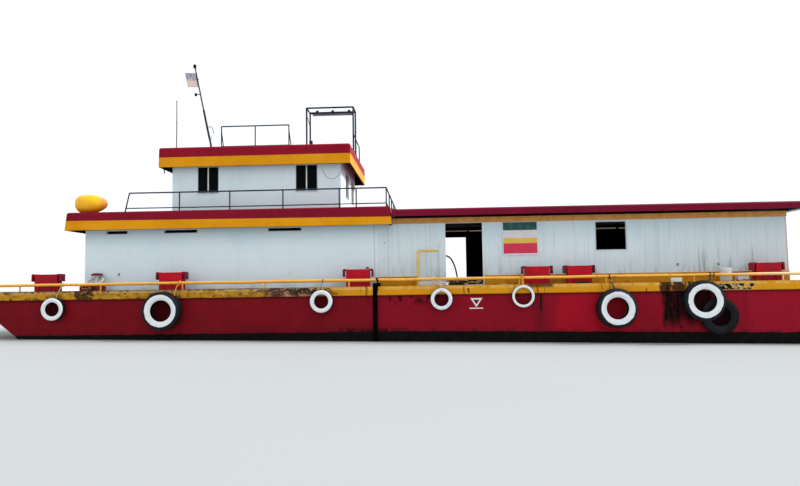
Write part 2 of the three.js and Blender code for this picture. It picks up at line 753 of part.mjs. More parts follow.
const AERIAL = { x: -8960, y: -1500, top: 9400, radius: 20, footTop: CABIN_ROOF.top + 80, footRadius: 40 };
const aerialFoot = rod(
  [AERIAL.x, AERIAL.y, CABIN_ROOF.top + SEAT],
  [AERIAL.x, AERIAL.y, AERIAL.footTop],
  AERIAL.footRadius,
  10,
);
const aerialWhip = rod(
  [AERIAL.x, AERIAL.y, AERIAL.footTop - 10],
  [AERIAL.x, AERIAL.y, AERIAL.top],
  AERIAL.radius,
  8,
);
place('aerial', joined([aerialFoot, aerialWhip]), look.dark);

// Flag: a thin cloth that hangs aft of the mast in shallow folds

const FLAG = { drop: 540, fly: 400, top: 10610, thick: 6, wave: 35 };
const lean = (mastTop.x - mastFoot.x) / (mastTop.z - mastFoot.z);
const flagHoist = mastPoint(FLAG.top)[0] - MAST.topRadius * Math.hypot(1, lean) - SEAT;
const flagEdge = Array.from({ length: 9 }, (_, i) => {
  const t = i / 8;
  return [flagHoist - FLAG.fly * t, MAST.y + FLAG.wave * Math.sin(t * 2 * Math.PI) * t];
});
const flagPlan = [...flagEdge, ...flagEdge.map(([x, y]) => [x, y + FLAG.thick]).reverse()];
const flagSheet = new THREE.ExtrudeGeometry(outline(flagPlan), { depth: FLAG.drop, bevelEnabled: false });
flagSheet.translate(0, 0, FLAG.top - FLAG.drop);
const shear = new THREE.Matrix4().set(1, 0, lean, -lean * FLAG.top, 0, 1, 0, 0, 0, 0, 1, 0, 0, 0, 0, 1);
flagSheet.applyMatrix4(shear);
place('flag', solid(flagSheet), look.cloth);

// Float lying on the aft end of the house roof

// Columns: distance from its blunt end, radius
const FLOAT_PROFILE = [
  [0, 0],
  [20, 160],
  [100, 265],
  [260, 318],
  [460, 322],
  [700, 283],
  [880, 212],
  [980, 148],
  [1035, 80],
  [1050, 0],
];
const floatShape = new THREE.LatheGeometry(FLOAT_PROFILE.map(([d, r]) => new THREE.Vector2(r, d)), 16);
const FLOAT = { x: -11850, y: -2800, radius: Math.max(...FLOAT_PROFILE.map(([, r]) => r)) };
const floatAt = [FLOAT.x, FLOAT.y, HOUSE_ROOF.top + FLOAT.radius + SEAT];
place('float', solid(floatShape), look.yellow, floatAt, [0, 0, -Math.PI / 2]);

// Ladder from the port side deck up to the house roof

const MARGIN = { x: [-13300, 11400], y: [3050, 3560], thick: 12 };
const deckPlateTop = DECK + MARGIN.thick + SEAT;
const LADDER = {
  x: [-11020, -10620],
  y: 3275,
  top: 5950,
  radius: 20,
  rungRadius: 13,
  pitch: 300,
  rungs: 9,
  cleat: [HOUSE_ROOF.bottom + 2, HOUSE_ROOF.bottom + 22],
  cleatHalf: 15,
};
const stringers = LADDER.x.map((x) =>
  rod([x, LADDER.y, deckPlateTop], [x, LADDER.y, LADDER.top], LADDER.radius, 8),
);
const rungs = Array.from({ length: LADDER.rungs }, (_, i) => {
  const z = DECK + LADDER.pitch * (i + 1);
  return rod([LADDER.x[0], LADDER.y, z], [LADDER.x[1], LADDER.y, z], LADDER.rungRadius, 8);
});
const ladderCleats = LADDER.x.map((x) =>
  box([x - LADDER.cleatHalf, x + LADDER.cleatHalf], [HOUSE_ROOF.half + SEAT, LADDER.y], LADDER.cleat),
);
place('roof_ladder', joined([...stringers, ...rungs, ...ladderCleats]), look.belt);

// Bollards on a margin plate along each side deck

const BOLLARD = {
  y: 3310,
  body: 376,
  cap: 482,
  earInner: 436,
  height: 570,
  capUnder: 515,
  earDrop: 250,
  dip: 18,
  dipFrom: 335,
  depth: 300,
};
const BOLLARDS_X = [-12470, -8340, -2270, 3410, 4720, 10510];

function bollard() {
  const { body, cap, earInner, height, capUnder, earDrop, dip, dipFrom, depth } = BOLLARD;
  const half = [
    [body, 0],
    [body, capUnder],
    [earInner, capUnder],
    [earInner, height - earDrop],
    [cap, height - earDrop],
    [cap, height],
    [dipFrom, height - dip],
  ];
  const mirrored = half.map(([x, z]) => [-x, z]).reverse();
  return alongY(outline([...half, ...mirrored]), [-depth / 2, depth / 2]);
}

for (const { side, s } of SIDES) {
  const plate = box(MARGIN.x, across(s, ...MARGIN.y), [DECK + SEAT, DECK + MARGIN.thick]);
  const heads = BOLLARDS_X.map((x) => bollard().translate(x, s * BOLLARD.y, DECK + MARGIN.thick - 1));
  place(`bollards_${side}`, joined([plate, ...heads]), look.bollard);
}

// Tyre fenders. Columns: name, x, z, outer radius, bore as a share of it, width, inboard face from the
// centreline

const ON_BELT = HALF_BEAM + BELT_PROUD + SEAT;
const ON_PLATE = HALF_BEAM + SEAT;
const TYRE_8_WIDTH = 200;
const ON_TYRE_8 = ON_PLATE + TYRE_8_WIDTH + SEAT;
const TYRES_STARBOARD = [
  ['tyre_1', -11970, 2040, 370, 0.6, 190, ON_BELT],
  ['tyre_2', -8410, 1945, 605, 0.55, 340, ON_BELT],
  ['tyre_3', -3370, 2170, 365, 0.61, 190, ON_BELT],
  ['tyre_4', 370, 2190, 345, 0.64, 170, ON_BELT],
  ['tyre_5', 2890, 2240, 350, 0.75, 110, ON_BELT],
  ['tyre_6', 5690, 1835, 605, 0.55, 340, ON_BELT],
  ['tyre_8', 8790, 1560, 560, 0.55, TYRE_8_WIDTH, ON_PLATE],
  ['tyre_7', 8270, 2030, 615, 0.56, 240, ON_TYRE_8],
];
const LARGE_TYRES = ['tyre_2', 'tyre_6', 'tyre_7', 'tyre_8'];
const TYRES_PORT = TYRES_STARBOARD.filter(([name]) => LARGE_TYRES.includes(name));

// Half of a tyre's section. Columns: share of the way from its bore to its tread, share of its half width
const TYRE_SECTION = [
  [0, 0.55],
  [0.26, 1],
  [0.7, 1],
  [1, 0.7],
];

function tyre(outer, bore, width) {
  const half = TYRE_SECTION.map(([way, w]) => {
    const r = bore + (1 - bore) * way;
    return new THREE.Vector2(r * outer, (-w * width) / 2);
  });
  const mirrored = half.map(({ x, y }) => new THREE.Vector2(x, -y)).reverse();
  return solid(new THREE.LatheGeometry([...half, ...mirrored, half[0].clone()], 20));
}

function hangTyres(rows, side, s) {
  for (const [name, x, z, outer, bore, width, face] of rows) {
    place(`${name}_${side}`, tyre(outer, bore, width), look.rubber, [x, s * (face + width / 2), z]);
  }
}

hangTyres(TYRES_STARBOARD, 'starboard', -1);
hangTyres(TYRES_PORT, 'port', 1);

// Small fittings on the starboard side deck

const SIGN = { x: [2415, 3540], z: [3550, 4630], thick: 12 };
const signBack = -HOUSE_HALF_WIDTH - WALL_RIB.proud - SEAT;
place('sign', box(SIGN.x, [signBack - SIGN.thick, signBack], SIGN.z), look.white);

const HOOP = { aft: -350, fore: 320, foreLeg: 302, y: -3100, top: 3740, leg: 55, bar: 42, thinLeg: 18 };
const hoop = joined([
  rod([HOOP.aft, HOOP.y, deckPlateTop], [HOOP.aft, HOOP.y, HOOP.top], HOOP.leg, 10),
  ball([HOOP.aft, HOOP.y, HOOP.top], HOOP.leg),
  rod([HOOP.aft, HOOP.y, HOOP.top], [HOOP.fore, HOOP.y, HOOP.top], HOOP.bar, 10),
  rod([HOOP.foreLeg, HOOP.y, deckPlateTop], [HOOP.foreLeg, HOOP.y, HOOP.top], HOOP.thinLeg, 8),
]);
place('gangway_hoop', hoop, look.yellow);

const VENT = {
  x: -11010,
  y: -2990,
  baseHalf: 260,
  baseY: [-3590, -2900],
  baseTop: 2770,
  capZ: [3105, 3195],
  capRadius: 185,
  pipeRadius: 50,
};
const ventX = [VENT.x - VENT.baseHalf, VENT.x + VENT.baseHalf];
const ventBase = box(ventX, VENT.baseY, [deckPlateTop, VENT.baseTop]);

function ventRound(z0, z1, radius, sides) {
  return rod([VENT.x, VENT.y, z0], [VENT.x, VENT.y, z1], radius, sides);
}

const ventPipe = ventRound(VENT.baseTop - 10, VENT.capZ[0] + 20, VENT.pipeRadius, 12);
const ventCap = ventRound(VENT.capZ[0], VENT.capZ[1], VENT.capRadius, 16);
place('vent', joined([ventBase, ventPipe, ventCap]), look.bollard);

// Life ring: slipped over the vent, its foot on the base and the inside of its raised edge against the pipe
const RING = { major: 255, tube: 45, tilt: THREE.MathUtils.degToRad(26) };
const ringShape = new THREE.TorusGeometry(RING.major, RING.tube, 8, 20);
ringShape.rotateX(RING.tilt);
ringShape.computeBoundingBox();
const ringPoints = ringShape.attributes.position;
const ringInside = Array.from({ length: ringPoints.count }, (_, i) => i)
  .filter((i) => Math.abs(ringPoints.getX(i)) < 1 && ringPoints.getY(i) > 0)
  .map((i) => ringPoints.getY(i));
const ringY = VENT.y + VENT.pipeRadius + SEAT - Math.min(...ringInside);
const ringZ = VENT.baseTop + SEAT - ringShape.boundingBox.min.z;
place('life_ring', solid(ringShape), look.white, [VENT.x, ringY, ringZ]);

// Stern gear

function propeller() {
  const { radius, hubRadius, hubLength, coneLength, coneTip, blades, bladeThick, pitch } = PROPELLER;
  const hub = rod([-hubLength / 2, 0, 0], [hubLength / 2, 0, 0], hubRadius, 16);
  const cone = new THREE.CylinderGeometry(coneTip, hubRadius, coneLength, 16);
  cone.rotateZ(Math.PI / 2);
  cone.translate(-(hubLength + coneLength) / 2, 0, 0);
  // Each blade is a flat ellipse that starts inside the hub
  const root = hubRadius - 40;
  const blade = new THREE.Shape();
  blade.absellipse(0, (radius + root) / 2, radius * 0.3, (radius - root) / 2, 0, 2 * Math.PI, false);
  const parts = Array.from({ length: blades }, (_, i) => {
    const plate = new THREE.ExtrudeGeometry(blade, { ...PLAIN, depth: bladeThick, curveSegments: 5 });
    plate.translate(0, 0, -bladeThick / 2);
    plate.rotateY(pitch);
    plate.rotateX((2 * Math.PI * i) / blades);
    return solid(plate);
  });
  const shaft = rod([hubLength / 2 - 5, 0, 0], [SHAFT.end - PROPELLER.x, 0, 0], SHAFT.radius, 24);
  return joined([hub, solid(cone), ...parts, shaft]);
}

function rudder() {
  const { bladeTop, bladeBottom, stockRadius, stockTop, nose, tail, halfThick, tailHalf } = RUDDER;
  const shoulder = nose * 0.3;
  const plan = new THREE.Shape();
  plan.moveTo(nose, 0);
  plan.quadraticCurveTo(nose, halfThick, shoulder, halfThick);
  plan.lineTo(-tail, tailHalf);
  plan.lineTo(-tail, -tailHalf);
  plan.lineTo(shoulder, -halfThick);
  plan.quadraticCurveTo(nose, -halfThick, nose, 0);
  const blade = alongZ(plan, [bladeBottom, bladeTop]);
  const stock = rod([0, 0, bladeTop - 20], [0, 0, stockTop], stockRadius, 24);
  return joined([blade, stock]);
}

for (const { side, s } of SIDES) {
  place(`propeller_${side}`, propeller(), look.bronze, [PROPELLER.x, s * PROPELLER.y, PROPELLER.z]);
  place(`rudder_${side}`, rudder(), look.dark, [RUDDER.x, s * PROPELLER.y, 0]);
}

// Hose from the outlet beside the doorway down to the fill pipe

const HOSE_DIAMETER = 50;
const HOSE_ROUTE = [
  [HOSE_OUTLET.end + SEAT, HOSE_FOOT.y, HOSE_OUTLET.z],
  [560, HOSE_FOOT.y, HOSE_OUTLET.z],
  [640, HOSE_FOOT.y, 3570],
  [720, HOSE_FOOT.y, 3500],
  [800, HOSE_FOOT.y, 3370],
  [865, HOSE_FOOT.y, 3190],
  [905, HOSE_FOOT.y, 3010],
  [925, HOSE_FOOT.y, 2870],
  [930, HOSE_FOOT.y, 2780],
  [930, HOSE_FOOT.y, HOSE_FOOT.top + SEAT],
];
place('hose', cord(HOSE_ROUTE, HOSE_DIAMETER, 8, 24), look.rubber);

// Cable that sags between two glands under the wheelhouse eave

const CABLE_DIAMETER = 16;
const cableTop = CABIN_ROOF.bottom - CABLE.glandDrop - SEAT;
const cableMiddle = (CABLE.from + CABLE.to) / 2;
const CABLE_ROUTE = [
  [CABLE.from, CABLE.y, cableTop],
  [CABLE.from, CABLE.y, 6710],
  [CABLE.from + 35, CABLE.y, 6600],
  [CABLE.from + 100, CABLE.y, 6450],
  [CABLE.from + 190, CABLE.y, 6335],
  [CABLE.from + 280, CABLE.y, 6285],
  [cableMiddle, CABLE.y, 6272],
  [CABLE.to - 280, CABLE.y, 6285],
  [CABLE.to - 190, CABLE.y, 6335],
  [CABLE.to - 100, CABLE.y, 6450],
  [CABLE.to - 35, CABLE.y, 6600],
  [CABLE.to, CABLE.y, 6710],
  [CABLE.to, CABLE.y, cableTop],
];
place('cable', cord(CABLE_ROUTE, CABLE_DIAMETER, 8, 28), look.rubber);

export default barge;
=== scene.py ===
import math
import random
from itertools import product

import bmesh
import bpy
from mathutils import Matrix, Vector


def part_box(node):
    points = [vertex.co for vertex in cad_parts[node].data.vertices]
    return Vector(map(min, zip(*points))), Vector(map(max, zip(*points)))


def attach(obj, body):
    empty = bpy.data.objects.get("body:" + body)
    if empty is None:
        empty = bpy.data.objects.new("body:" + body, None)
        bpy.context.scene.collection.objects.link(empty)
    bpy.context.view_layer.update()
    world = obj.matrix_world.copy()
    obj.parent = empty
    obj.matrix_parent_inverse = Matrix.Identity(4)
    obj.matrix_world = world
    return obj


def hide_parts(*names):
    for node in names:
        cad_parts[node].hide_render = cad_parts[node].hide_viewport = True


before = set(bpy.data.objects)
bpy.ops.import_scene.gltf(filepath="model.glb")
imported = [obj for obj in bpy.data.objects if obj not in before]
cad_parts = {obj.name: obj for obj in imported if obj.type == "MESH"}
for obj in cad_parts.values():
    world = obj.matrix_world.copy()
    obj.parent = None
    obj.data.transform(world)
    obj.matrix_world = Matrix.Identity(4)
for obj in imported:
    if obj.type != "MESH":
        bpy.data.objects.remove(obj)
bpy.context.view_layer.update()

TURN = 2 * math.pi
# Columns: name, which way it lies in Y
SIDES = (("starboard", -1), ("port", 1))
# How far a piece stands off the one that it lies on, so that their faces don't fight
PROUD = 0.0003


def stand(name, data):
    piece = bpy.data.objects.new(name, data)
    bpy.context.scene.collection.objects.link(piece)
    return piece


# Camera: level with the deck, 24 m to starboard of the centreline

CAMERA_PLACE = Vector((0.03, -24.0, 2.561))
CAMERA_YAW = math.radians(2.613)
CAMERA_PITCH = math.radians(3.945)
CAMERA_ROLL = math.radians(0.874)
FOCAL_PIXELS = 647.2
PHOTO_WIDTH = 800
SENSOR_WIDTH = 36.0


def make_camera():
    ahead = Vector(
        (
            -math.sin(CAMERA_YAW) * math.cos(CAMERA_PITCH),
            math.cos(CAMERA_YAW) * math.cos(CAMERA_PITCH),
            math.sin(CAMERA_PITCH),
        )
    )
    level = Vector((math.cos(CAMERA_YAW), math.sin(CAMERA_YAW), 0))
    above = level.cross(ahead)
    right = level * math.cos(CAMERA_ROLL) - above * math.sin(CAMERA_ROLL)
    up = above * math.cos(CAMERA_ROLL) + level * math.sin(CAMERA_ROLL)
    camera = stand("camera", bpy.data.cameras.new("camera"))
    camera.data.sensor_width = SENSOR_WIDTH
    camera.data.lens = FOCAL_PIXELS * SENSOR_WIDTH / PHOTO_WIDTH
    camera.data.clip_end = 500
    turn = Matrix((right, up, -ahead)).transposed().to_4x4()
    camera.matrix_world = Matrix.Translation(CAMERA_PLACE) @ turn
    bpy.context.scene.camera = camera


make_camera()


# Colours and materials


def linear(colour):
    """Turns 0xRRGGBB, as a screen shows it, into shares of light. Such shares pass as they are."""
    if not isinstance(colour, int):
        return colour
    parts = [(colour >> shift & 255) / 255 for shift in (16, 8, 0)]
    return (*(v / 12.92 if v < 0.0404 else ((v + 0.055) / 1.055) ** 2.4 for v in parts), 1.0)


RUST = 0x683418
DARK_RUST = 0x3A1E12
SOOT = 0x100F10
PALE = 0xCDCDC4
# Painted shade: near-black for the dark inside of the shed
INDOOR_SHADE = 0x0E0E0E


class Field:
    """A value that changes over a look's surface."""

    def __init__(self, look, socket):
        self.look = look
        self.socket = socket

    def maths(self, operation, *others):
        return self.look.maths(operation, self, *others)

    def __add__(self, other):
        return self.maths("ADD", other)

    def __sub__(self, other):
        return self.maths("SUBTRACT", other)

    def __mul__(self, other):
        return self.maths("MULTIPLY", other)

    def __abs__(self):
        return self.maths("ABSOLUTE")

    def rise(self, low, high):
        """From 0 at low to 1 at high, smooth between them. With high below low it falls instead."""
        inputs = {"Value": self, "From Min": min(low, high), "From Max": max(low, high)}
        made = self.look.node("MapRange", inputs, interpolation_type="SMOOTHSTEP").outputs[0]
        return self.look.maths("SUBTRACT", 1.0, made) if high < low else Field(self.look, made)

    def band(self, low, high, soft=0.002):
        """1 from low to high and 0 outside."""
        return self.rise(low - soft, low) * self.rise(high + soft, high)

    def wavy(self, noise, amount):
        """Shifted to and fro by a noise."""
        return self + (noise - 0.5) * amount


class Look:
    """A surface whose colours are laid over each other in nodes, in the object's own metres."""

    def __init__(self, name, colour, roughness=0.6, metallic=0.0, shine=0.2):
        self.material = bpy.data.materials.new(name)
        self.material.use_nodes = True
        self.tree = self.material.node_tree
        self.shader = self.tree.nodes["Principled BSDF"]
        self.shader.inputs["Metallic"].default_value = metallic
        self.shader.inputs["Specular IOR Level"].default_value = shine
        self.place = self.node("TexCoord").outputs["Object"]
        self.x, self.y, self.z = self.axes(self.place)
        self.colour = linear(colour)
        self.roughness = roughness
        self.normal = None

    def node(self, kind, inputs=None, **settings):
        made = self.tree.nodes.new("ShaderNode" + kind)
        for key, value in settings.items():
            setattr(made, key, value)
        for key, value in (inputs or {}).items():
            self.feed(made.inputs[key], value)
        return made

    def feed(self, socket, value):
        value = value.socket if isinstance(value, Field) else value
        if isinstance(value, bpy.types.NodeSocket):
            self.tree.links.new(value, socket)
        else:
            socket.default_value = value

    def axes(self, vector):
        return [Field(self, socket) for socket in self.node("SeparateXYZ", {0: vector}).outputs]

    def upward(self):
        """How far the surface faces up, from -1 to 1."""
        return self.axes(self.node("NewGeometry").outputs["Normal"])[2]

    def maths(self, operation, *values):
        return Field(self, self.node("Math", dict(enumerate(values)), operation=operation).outputs[0])

    def noise(self, scale, detail=3.0, stretch=(1, 1, 1), shift=0.0, rough=0.55):
        where = self.node("Mapping", {"Vector": self.place, "Scale": stretch, "Location": (shift,) * 3})
        inputs = {"Vector": where.outputs[0], "Scale": scale, "Detail": detail, "Roughness": rough}
        return Field(self, self.node("TexNoise", inputs).outputs[0])

    def cover(self, amount, colour, roughness=None):
        """Lays a colour over what is there, by an amount from 0 to 1."""
        inputs = {0: amount, 6: self.colour, 7: linear(colour)}
        self.colour = self.node("Mix", inputs, data_type="RGBA").outputs[2]
        if roughness is not None:
            inputs = {0: amount, 2: self.roughness, 3: roughness}
            self.roughness = self.node("Mix", inputs, data_type="FLOAT").outputs[0]

    def distance(self, x, z):
        """How far a point of the surface is from a place, seen from the side."""
        gaps = [self.x - x, self.z - z]
        return self.maths("SQRT", gaps[0] * gaps[0] + gaps[1] * gaps[1])

    def bump(self, height, distance):
        inputs = {"Height": height, "Distance": distance, "Strength": 1.0}
        if self.normal is not None:
            inputs["Normal"] = self.normal
        self.normal = self.node("Bump", inputs).outputs[0]

    def grain(self, scale=55, distance=0.0012, detail=4.0):
        self.bump(self.noise(scale, detail), distance)

    def mottle(self, dark, light, scale=0.8, amount=0.25, shift=0.0):
        """Broad uneven fading, darker in places and lighter in others."""
        tone = self.noise(scale, 5.0, shift=shift, rough=0.6)
        self.cover(tone.rise(0.52, 0.3) * amount, dark)
        self.cover(tone.rise(0.5, 0.72) * amount, light)

    def streaks(self, colour, amount, density=6.0, low=0.53, high=0.72, where=None, shift=0.0):
        """Runs down the surface, long in Z and narrow across."""
        runs = self.noise(1.0, 4.0, (density, density, density * 0.06), shift, 0.65)
        shape = runs.rise(low, high) * amount
        self.cover(shape if where is None else shape * where, colour)

    def rust(self, scale=5.0, threshold=0.64, amount=0.9, where=None, shift=3.0, colour=RUST):
        """Spots of rust with a darker middle."""
        spots = self.noise(scale, 6.0, shift=shift, rough=0.65)
        for low, high, tone, roughness in (
            (threshold - 0.035, threshold, colour, 0.85),
            (threshold + 0.02, threshold + 0.06, DARK_RUST, None),
        ):
            shape = spots.rise(low, high) * amount
            self.cover(shape if where is None else shape * where, tone, roughness)

    def done(self):
        ends = {"Base Color": self.colour, "Roughness": self.roughness}
        if self.normal is not None:
            ends["Normal"] = self.normal
        for name, value in ends.items():
            self.feed(self.shader.inputs[name], value)
        return self.material


# Heights and places that the paint follows

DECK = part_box("bollards_starboard")[0].z
SIDE = -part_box("hull_aft")[0].y
BELT_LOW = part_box("belt_aft")[0]
BELT_SIDE = -BELT_LOW.y
WALL_SIDE = -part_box("house_wall_starboard")[0].y
RIB_PROUD = 0.01
WATERLINE = 0.87
WATERLINE_SLOPE = -0.017
BOOT_TOP = 1.19
BOOT_TOP_SLOPE = -0.0155
COAMING_TOP = 2.921
BOARD_FOOT = 4.654
SHED_CEILING = 4.831
# Half the width over which one paint turns into the next
EDGE = 0.0005


# Painted shadow behind each tyre, with rubbing dirt. Columns: x, z, radius, amount
TYRE_SHADOWS = [
    (-11.97, 2.04, 0.27, 0.8),
    (-8.41, 1.945, 0.42, 0.7),
    (-3.37, 2.17, 0.27, 0.6),
    (0.37, 2.19, 0.26, 0.6),
    (2.89, 2.24, 0.3, 0.4),
    (5.69, 1.835, 0.42, 0.4),
    (8.27, 2.03, 0.45, 0.3),
    (8.79, 1.56, 0.42, 0.97),
]
BOLLARD_Y = 3.31
BOLLARD_FOOT = DECK + 0.012
BOLLARDS_X = [-12.47, -8.34, -2.27, 3.41, 4.72, 10.51]
MARGIN_X = (-13.3, 11.4)
MARGIN_Y = (3.05, 3.56)
BOLLARD_BODY = 0.376
BOLLARD_CAP = 0.482
BOLLARD_EAR = 0.436
BOLLARD_HEIGHT = 0.57
BOLLARD_UNDER = 0.515
BOLLARD_DROP = 0.25
BOLLARD_DIP = 0.018
BOLLARD_DEPTH = 0.15


def hull_paint():
    look = Look("hull_paint", 0x7A0E1A, 0.5, shine=0.06)
    look.mottle(0x640A14, 0x86101E, 0.55, 0.6)
    look.mottle(0x540C14, 0x841422, 3.2, 0.22, 7.0)
    forward = look.x.rise(-2.2, -1.4)
    look.cover(forward * 0.75, 0x8E0F23)
    far_forward = look.x.rise(8.6, 9.2)
    look.cover(far_forward * 0.6, 0x9E132A)
    bright = look.x.wavy(look.noise(1.1, 3.0, shift=4.0), 0.8).band(4.1, 6.2, 0.4)
    look.cover(bright * 0.6, 0xB20E24)
    below_belt = look.z.rise(1.9, BELT_LOW.z)
    # Painted shadow under the belt's overhang
    look.cover(look.z.rise(BELT_LOW.z - 0.1, BELT_LOW.z - 0.01) * 0.55, 0x3C060C)
    look.streaks(0x40060C, 0.5, 5.0, 0.55, 0.7, below_belt)
    look.streaks(0x4C0A12, 0.4, 2.2, 0.56, 0.72, None, 5.0)
    look.streaks(0x960C1A, 0.4, 2.8, 0.56, 0.7, look.x.rise(3.0, 5.0), 15.0)
    spots = look.x.rise(-1.6, -1.3) * look.x.rise(1.4, 0.6) * look.z.rise(1.9, 2.2)
    dabs = look.noise(3.6, 5.0, (1.4, 1, 1), 6.0, 0.6)
    look.cover(dabs.rise(0.52, 0.6) * spots * 0.85, 0x2E080C, 0.8)
    # A dark zone where the tyres rub, and one long run of dirt
    grime = look.noise(2.6, 6.0, (1.6, 1, 0.7), 2.0, 0.65)
    zone = look.x.wavy(grime, 0.45).band(7.2, 8.5, 0.12)
    fading = look.z.wavy(grime, 0.6).rise(1.15, 1.6)
    look.cover(zone * fading * 0.96, 0x260D13, 0.85)
    shafts = look.noise(1.0, 4.0, (9.0, 9.0, 0.5), 14.0, 0.6)
    look.cover(zone * fading * shafts.rise(0.5, 0.56) * 0.85, 0x0E0809, 0.85)
    scabs = look.noise(7.0, 6.0, (1, 1, 0.5), 12.0, 0.65)
    look.cover(zone * scabs.rise(0.56, 0.62) * 0.5, 0x5C161A, 0.85)
    look.cover(zone * scabs.rise(0.42, 0.36) * 0.85, SOOT, 0.85)
    run = look.x.wavy(look.noise(2.0, 3.0), 0.25).band(3.2, 3.36, 0.06)
    look.cover(run * 0.25, 0x4C0A14)
    drip = look.x.wavy(look.noise(5.0, 3.0), 0.06).band(3.42, 3.47, 0.02)
    look.cover(drip * look.z.rise(1.7, 1.85) * 0.9, SOOT)
    look.rust(3.4, 0.7, 0.7, colour=0x581A16)
    # Painted shadow and rubbing dirt behind each tyre, only on starboard for the small ones
    starboard = look.y.rise(1.0, -1.0)
    for x, z, radius, amount in TYRE_SHADOWS:
        ring = look.distance(x, z).rise(radius + 0.06, radius - 0.06)
        small = radius < 0.35
        look.cover(ring * (starboard if small else 1.0) * amount, 0x140408, 0.85)
    # Boot-top, lower towards the bow
    drop = look.x.maths("MAXIMUM", 0.0) * -BOOT_TOP_SLOPE
    line = look.z + drop
    edge = line.wavy(look.noise(1.6, 6.0, rough=0.65), 0.07)
    splash = look.noise(5.0, 6.0, (1.4, 1, 0.8), 14.0, 0.7)
    wet = line.rise(BOOT_TOP + 0.2, BOOT_TOP)
    look.cover(wet * splash.rise(0.42, 0.62) * 0.6, 0x460C14)
    seam_foot = look.x.band(-2.7, -0.9, 0.3)
    look.cover(wet * seam_foot * splash.rise(0.4, 0.52) * 0.85, 0x18080A)
    under = edge.rise(BOOT_TOP + 0.025, BOOT_TOP)
    look.cover(under, 0x0E0D0C, 0.7)
    growth = look.noise(7.0, 6.0, shift=4.0)
    look.cover(under * growth.rise(0.5, 0.68) * 0.55, 0x1C2016, 0.9)
    shells = look.noise(26.0, 6.0, (1, 1, 1.5), 3.0)
    low = look.z.rise(1.1, 0.95)
    look.cover(under * low * shells.rise(0.64, 0.7) * 0.5, 0x767060, 0.9)
    # Deck, seen only from above
    up = look.upward().rise(0.6, 0.8)
    look.cover(up, 0x523A30, 0.85)
    worn = look.noise(1.3, 6.0, shift=9.0, rough=0.7)
    look.cover(up * worn.rise(0.48, 0.62) * 0.7, 0x6A503C, 0.9)
    look.cover(up * worn.rise(0.5, 0.36) * 0.6, 0x2E2420, 0.8)
    for axis, step in ((look.x, 1.2), (look.y, 0.9)):
        seam = axis.maths("PINGPONG", step).rise(0.016, 0.006)
        look.cover(up * seam * 0.7, 0x2E221E, 0.85)
    # Plates pulled in a little between the frames
    frames = look.x.maths("PINGPONG", 0.3)
    look.bump(frames.rise(0.0, 0.3), 0.005)
    look.bump(look.noise(0.7, 2.0), 0.02)
    look.grain(40, 0.0012)
    return look.done()


def belt_paint():
    look = Look("belt_paint", 0xCE8E0E, 0.5, shine=0.12)
    look.mottle(0xB2720C, 0xDC9E1A, 1.4, 0.5)
    forward = look.x.rise(-3.4, -2.4)
    look.cover(forward * 0.5, 0xE49810)
    aft = look.x.rise(-3.2, -5.2)
    patches = look.noise(3.4, 6.0, (1, 1, 1.6), 2.0, 0.62)
    look.cover(aft * 0.45, 0xB0801C)
    look.cover(aft * patches.rise(0.45, 0.58) * 0.8, 0x8C641E, 0.75)
    look.cover(aft * patches.rise(0.56, 0.62) * 0.8, 0x603A1A, 0.85)
    look.cover(aft * patches.rise(0.44, 0.37) * 0.6, 0xC4A86E, 0.7)
    look.rust(7.0, 0.63, 0.9, aft, 6.0)
    # Rust eats the upper edge, and drips stand dark below it
    edge = look.noise(4.5, 6.0, (1, 1, 0.4), 21.0, 0.7)
    top = look.z.wavy(edge, 0.22).rise(2.5, 2.56)
    look.cover(top * aft * 0.8, 0x4A2C1A, 0.85)
    # A pale band along the top edge: painted highlight
    pale = look.z.band(2.52, 2.585, 0.015) * edge.rise(0.4, 0.55)
    look.cover(pale * 0.55, 0xE2BE76, 0.7)
    look.streaks(0x804A0E, 0.5, 8.0, 0.57, 0.7)
    drips = look.noise(1.0, 3.0, (7.0, 7.0, 0.8), 33.0, 0.6)
    look.cover(drips.rise(0.64, 0.67) * look.x.rise(-3.0, -1.5) * 0.75, 0x542C12)
    heap = look.x.wavy(patches, 0.5).band(-5.05, -3.65, 0.2)
    look.cover(heap * 0.55, 0x785442, 0.8)
    look.cover(heap * patches.rise(0.46, 0.56) * 0.85, 0x42282A, 0.85)
    look.cover(heap * patches.rise(0.45, 0.38) * 0.7, 0xC49888, 0.8)
    # Paint peeled to black steel with pale rims
    peel = look.noise(6.5, 5.0, (1, 1, 1.7), 8.0, 0.6)
    place = look.x.band(8.9, 9.85, 0.12)
    height = look.z.band(2.37, 2.52, 0.03)
    peeled = place * height
    look.cover(peeled * peel.rise(0.42, 0.45), 0xCEC09E, 0.8)
    look.cover(peeled * peel.rise(0.455, 0.48), SOOT, 0.85)
    grime = look.noise(3.2, 6.0, (1.8, 1, 0.7), 3.0, 0.7)
    zone = look.x.wavy(grime, 0.3).band(7.1, 8.4, 0.05)
    look.cover(zone * grime.rise(0.34, 0.48) * 0.95, 0x321C18, 0.85)
    scorch = look.x.wavy(grime, 0.3).band(3.1, 3.75, 0.15) * look.z.rise(2.47, 2.55)
    look.cover(scorch * 0.85, 0x341E12, 0.85)
    patch = look.x.wavy(peel, 0.3).band(-11.3, -10.75, 0.08) * peel.rise(0.36, 0.46)
    look.cover(patch * 0.9, 0x2C1A14, 0.9)
    crack = look.x.wavy(peel, 0.12).band(1.2, 1.25, 0.01) * look.z.band(2.38, 2.5, 0.02)
    look.cover(crack * 0.9, SOOT)
    look.rust(13.0, 0.7, 0.85, None, 1.0)
    # Darker along the lower edge
    look.cover(look.z.rise(BELT_LOW.z + 0.04, BELT_LOW.z) * 0.5, 0x68360C)
    look.grain(34, 0.0018)
    look.bump(look.noise(2.0, 3.0), 0.012)
    return look.done()


